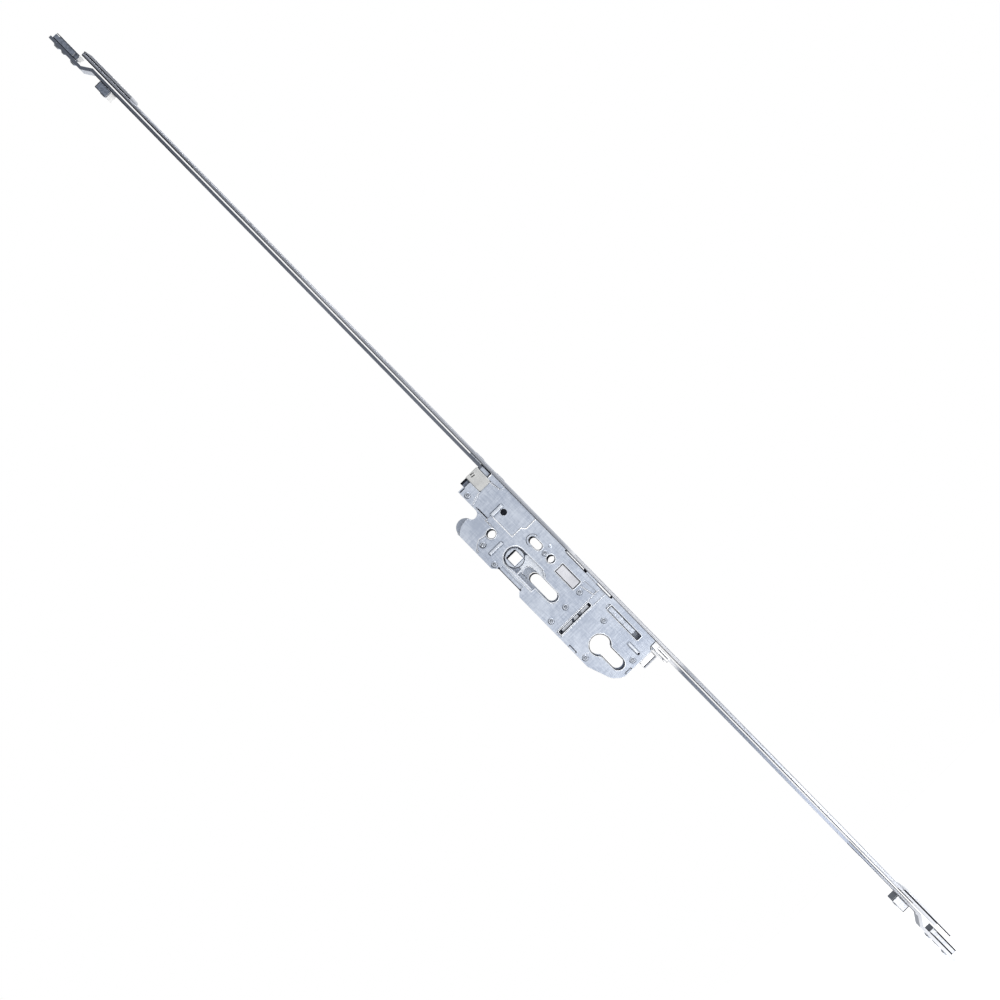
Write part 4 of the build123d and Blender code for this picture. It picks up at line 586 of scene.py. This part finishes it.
# The dished heads of the rivets: a painted shadow arc in each dish and one round its foot
lobe_rivet = (-10.2, 24.0)
rivet_places = [(7.6, 58.8), lobe_rivet, (-14.4, 7.3), (18.9, -13.2), (-13.6, -53.2), (9.8, -117.2)]
rivet_places += [(15.1, -80.5), (-14.6, -91.1), (1.5, -53.2), (17.0, -52.5)]
for number, (x, z) in enumerate(rivet_places):
    level = LOBE_LEVEL if (x, z) == lobe_rivet else COVER
    crescent(f"rivet_dish_{number}", x, z, 1.35, 0.6, -7.95, -7.55)
    gap_line(f"rivet_foot_{number}", arc(x, z, 2.5, 150, 180, 17), 0.3, level)

# The hub's rim, and the edges of its square hole, as painted shadow
HUB_FRONT = -7.9
gap_line("hub_rim_line", arc(0, 0, 7.4), 0.35, HUB_FRONT, closed=True, body="hub")
gap_line("hub_lower_rim", arc(0, 0, 7.45, 195, 190, 25), 0.6, HUB_FRONT, body="hub")
square_outline = rounded_box(-4.75, 4.75, -4.75, 4.75, 0.3)
gap_line("hub_square_line", square_outline, 0.35, HUB_FRONT, closed=True, body="hub")
square_upper_wall = rounded_box(-4.45, 4.45, 3.3, 4.6, 0.1)
plate("hub_square_wall", square_upper_wall, -7.7, -5.0, painted_shadow, body="hub", bevel=0.05)

# The slide behind the hub: the fold round its finger notch, with painted shade and a painted highlight on its
# flanks, and a painted shadow line
SLIDE_FRONT = -5.3
notch_fold = [(4.6, -17.4), (4.1, -14.0), (2.6, -12.0), (0.0, -11.0), (-2.6, -11.3), (-4.2, -12.8)]
crease("slide_notch_fold", notch_fold, SLIDE_FRONT, 0.4, "hub_slide")
gap_line("slide_notch_line", [(-4.3, -11.5), (-4.3, -17.5)], 0.4, SLIDE_FRONT, body="hub_slide")
# The painted shadow on the upper edge of the handle passage. It rides on the slide, so it moves off as the
# hub turns
crescent("slide_notch_wall", 0, -21.7, 4.25, 1.2, -5.2, -3.2, body="hub_slide")

# The driver at the case's foot, its tongue in a painted highlight with painted shadow lines, and the painted
# shadow line of the case's corner over it
driver_corner = [(31.9, -119.2), (27.4, -119.2), (26.0, -119.7), (25.2, -120.6), (24.9, -121.7)]
gap_line("driver_corner_line", driver_corner, 0.55)
TONGUE_FRONT = -5.9
tongue_outline = rounded_box(26.75, 31.0, -137.2, -124.4, 0.5)
plate("driver_tongue", tongue_outline, TONGUE_FRONT, -5.1, bright_edge, "lower_drive")
gap_line("tongue_top_line", [(29.1, -125.0), (29.1, -135.8)], 0.7, TONGUE_FRONT, body="lower_drive")
tongue_edge = [(29.4, -136.9), (27.05, -136.9), (27.05, -128.0)]
gap_line("tongue_edge_line", tongue_edge, 0.3, TONGUE_FRONT, body="lower_drive")

# The pale block under the foot and the thin plate beyond it
BLOCK_FRONT = -6.1
plate("foot_block_face", rounded_box(11.9, 24.4, -127.4, -122.1, 0.3), BLOCK_FRONT, -5.6, bright_edge)
# Painted shadow lines along the block face's edges
foot_line = [(24.2, -121.9), (24.2, -127.1), (12.2, -127.1)]
gap_line("foot_block_line", foot_line, 0.5, BLOCK_FRONT)
gap_line("foot_block_mark", [(12.2, -122.6), (12.2, -124.4)], 0.35, BLOCK_FRONT)

# The upper end of the case: the slide's pale end in the front gap, a painted highlight on the front cut, and
# painted shadow on the edges at the top
slide_end = rounded_box(27.7, 31.1, 58.6, 66.4, 0.4)
plate("slide_end_plate", slide_end, -5.1, -4.6, finishes["zinc_case"], "upper_drive")
plate("upper_front_cut", rounded_box(28.2, 31.8, 57.0, 57.7, 0.2), -7.6, -7.0, bright_edge)
plate("top_block_edge", rounded_box(10.0, 15.7, 67.0, 69.0, 0.3), -6.08, -5.8, painted_shadow)
gap_line("upper_end_line", [(9.7, 64.2), (4.9, 64.2)], 0.9)

# Painted shadow along the seams of the faceplate, its end plates and the rods behind it, and round the guides
PLATE_SIDE = -8.0
ROD_SIDE = -5.0
gap_line("upper_plate_seam", [(35.1, 499.8), (35.1, 450.6)], 0.6, PLATE_SIDE)
gap_line("lower_plate_seam", [(35.1, -384.4), (35.1, -433.4)], 0.9, PLATE_SIDE)
gap_line("upper_rear_edge", [(32.5, 499.6), (32.5, 380.0)], 0.8, PLATE_SIDE)
gap_line("lower_rear_edge", [(32.3, -380.0), (32.3, -396.0)], 0.4, PLATE_SIDE)
# Two thin dark lines along the faceplate's cover side, in painted shade
dark_line_section = [(-0.15, PLATE_SIDE + 0.1), (-0.15, PLATE_SIDE - 0.02)]
dark_line_section += [(0.15, PLATE_SIDE - 0.02), (0.15, PLATE_SIDE + 0.1)]
for number, x in enumerate((34.6, 33.4)):
    path = [(x, -30.0), (x, -142.0)]
    band(f"faceplate_dark_line_{number}", path, dark_line_section, crease_shade, closed=False)
gap_line("upper_coupling_top", [(30.5, 502.3), (30.5, 525.8)], 0.6, ROD_SIDE, body="upper_drive")
gap_line("upper_coupling_foot", [(26.2, 503.0), (26.2, 526.0)], 0.7, ROD_SIDE, body="upper_drive")
gap_line("lower_coupling_top", [(30.5, -422.3), (30.5, -445.8)], 0.7, ROD_SIDE, body="lower_drive")
gap_line("lower_coupling_foot", [(26.5, -422.3), (26.5, -445.8)], 0.8, ROD_SIDE, body="lower_drive")
gap_line("upper_rod_edge", [(28.8, 484.0), (28.8, 380.0)], 0.5, ROD_SIDE, body="upper_drive")
gap_line("lower_rod_edge", [(28.8, -404.0), (28.8, -330.0)], 0.35, ROD_SIDE, body="lower_drive")
gap_line("lower_rod_front_edge", [(30.8, -330.0), (30.8, -396.0)], 0.5, ROD_SIDE, body="lower_drive")
GUIDE_SIDE = -6.0
for name, body, low in (("upper_guide", "upper_drive", 464.6), ("lower_guide", "lower_drive", -397.0)):
    outline = rounded_box(22.6, 28.2, low + 0.3, low + 12.1, 0.4)
    gap_line(name + "_edge", outline, 0.35, GUIDE_SIDE, closed=True, body=body)

# The camera, square to the cover and rolled, so that the lock's head points up and to the left
FIELD = 0.7542
DISTANCE = 0.91
AIM_X = 0.0227
AIM_Z = 0.0391
ROLL_COS = 0.7145
ROLL_SIN = 0.6997
SENSOR = 36.0
cover_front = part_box("case_cover")[0].y

right = Vector((ROLL_COS, 0, -ROLL_SIN))
up = Vector((ROLL_SIN, 0, ROLL_COS))
back = Vector((0, -1, 0))
camera_data = bpy.data.cameras.new("camera")
camera_data.sensor_width = SENSOR
camera_data.lens = SENSOR * DISTANCE / FIELD
camera = bpy.data.objects.new("camera", camera_data)
bpy.context.scene.collection.objects.link(camera)
turn = Matrix((right, up, back)).transposed().to_4x4()
camera.matrix_world = Matrix.Translation((AIM_X, cover_front - DISTANCE, AIM_Z)) @ turn
bpy.context.scene.camera = camera


def soft_light(name, place, aim, size, power):
    """A square area light that looks at a point."""
    data = bpy.data.lights.new(name, "AREA")
    data.shape = "SQUARE"
    data.size = size
    data.energy = power
    lamp = bpy.data.objects.new(name, data)
    lamp.location = place
    lamp.rotation_euler = (Vector(aim) - Vector(place)).to_track_quat("-Z", "Y").to_euler()
    bpy.context.scene.collection.objects.link(lamp)


# The main light comes from the faceplate's side and from above, low over the cover
soft_light("key_light", place=(1.5, -0.9, 0.9), aim=(0, 0, 0.05), size=0.8, power=22)
soft_light("fill_light", place=(-1.2, -1.4, -0.6), aim=(0, 0, 0), size=1.4, power=5)
soft_light("back_light", place=(-0.3, 1.6, 0.9), aim=(0, 0, 0), size=1.4, power=8)
soft_light("lower_light", place=(0.12, -0.75, -0.85), aim=(0.02, 0, -0.3), size=0.6, power=8)

# A plain white backdrop. The room that the metal mirrors falls from the faceplate's side to a dim far side
DIM_SIDE = 0.14
WHITE = (1, 1, 1)
BRIGHT_SIDE = (0.9, -0.15, 0.2)
world = bpy.data.worlds.new("studio")
world.use_nodes = True
studio = Network(world.node_tree)
direction = studio.node("ShaderNodeTexCoord", "Generated", {}, {})
along = {"operation": "DOT_PRODUCT"}
towards_wall = studio.node("ShaderNodeVectorMath", "Value", along, {0: direction, 1: (0, 1, 0)})
towards_light = studio.node("ShaderNodeVectorMath", "Value", along, {0: direction, 1: BRIGHT_SIDE})
room = studio.blend(studio.ramp(towards_light, -0.9, 0.9), (DIM_SIDE, DIM_SIDE, DIM_SIDE), WHITE)
around = studio.blend(studio.ramp(towards_wall, 0.3, 0.8), room, WHITE)
backdrop = studio.node("ShaderNodeLightPath", "Is Camera Ray", {}, {})
sky = studio.blend(backdrop, around, WHITE)
studio.feed(world.node_tree.nodes["Background"].inputs["Color"], sky)
studio.feed(world.node_tree.nodes["Background"].inputs["Strength"], 1.0)
bpy.context.scene.world = world
bpy.context.scene.view_settings.view_transform = "Standard"

# The floor under the standing lock
FLOOR_DROP = 0.02
FLOOR_HALF = 0.3
floor_z = cad_box[0].z - FLOOR_DROP
floor_data = bpy.data.meshes.new("floor")
corners = [(-FLOOR_HALF, -FLOOR_HALF), (FLOOR_HALF, -FLOOR_HALF)]
corners += [(FLOOR_HALF, FLOOR_HALF), (-FLOOR_HALF, FLOOR_HALF)]
floor_data.from_pydata([(x, y, floor_z) for x, y in corners], [], [(0, 1, 2, 3)])
floor = bpy.data.objects.new("floor", floor_data)
bpy.context.scene.collection.objects.link(floor)
floor_finish = Finish(
    "floor_finish",
    base_color=(0.93, 0.93, 0.93),
    roughness=0.9,
    emission_color=WHITE,
    emission_strength=0.3,
)
floor_data.materials.append(floor_finish.material)
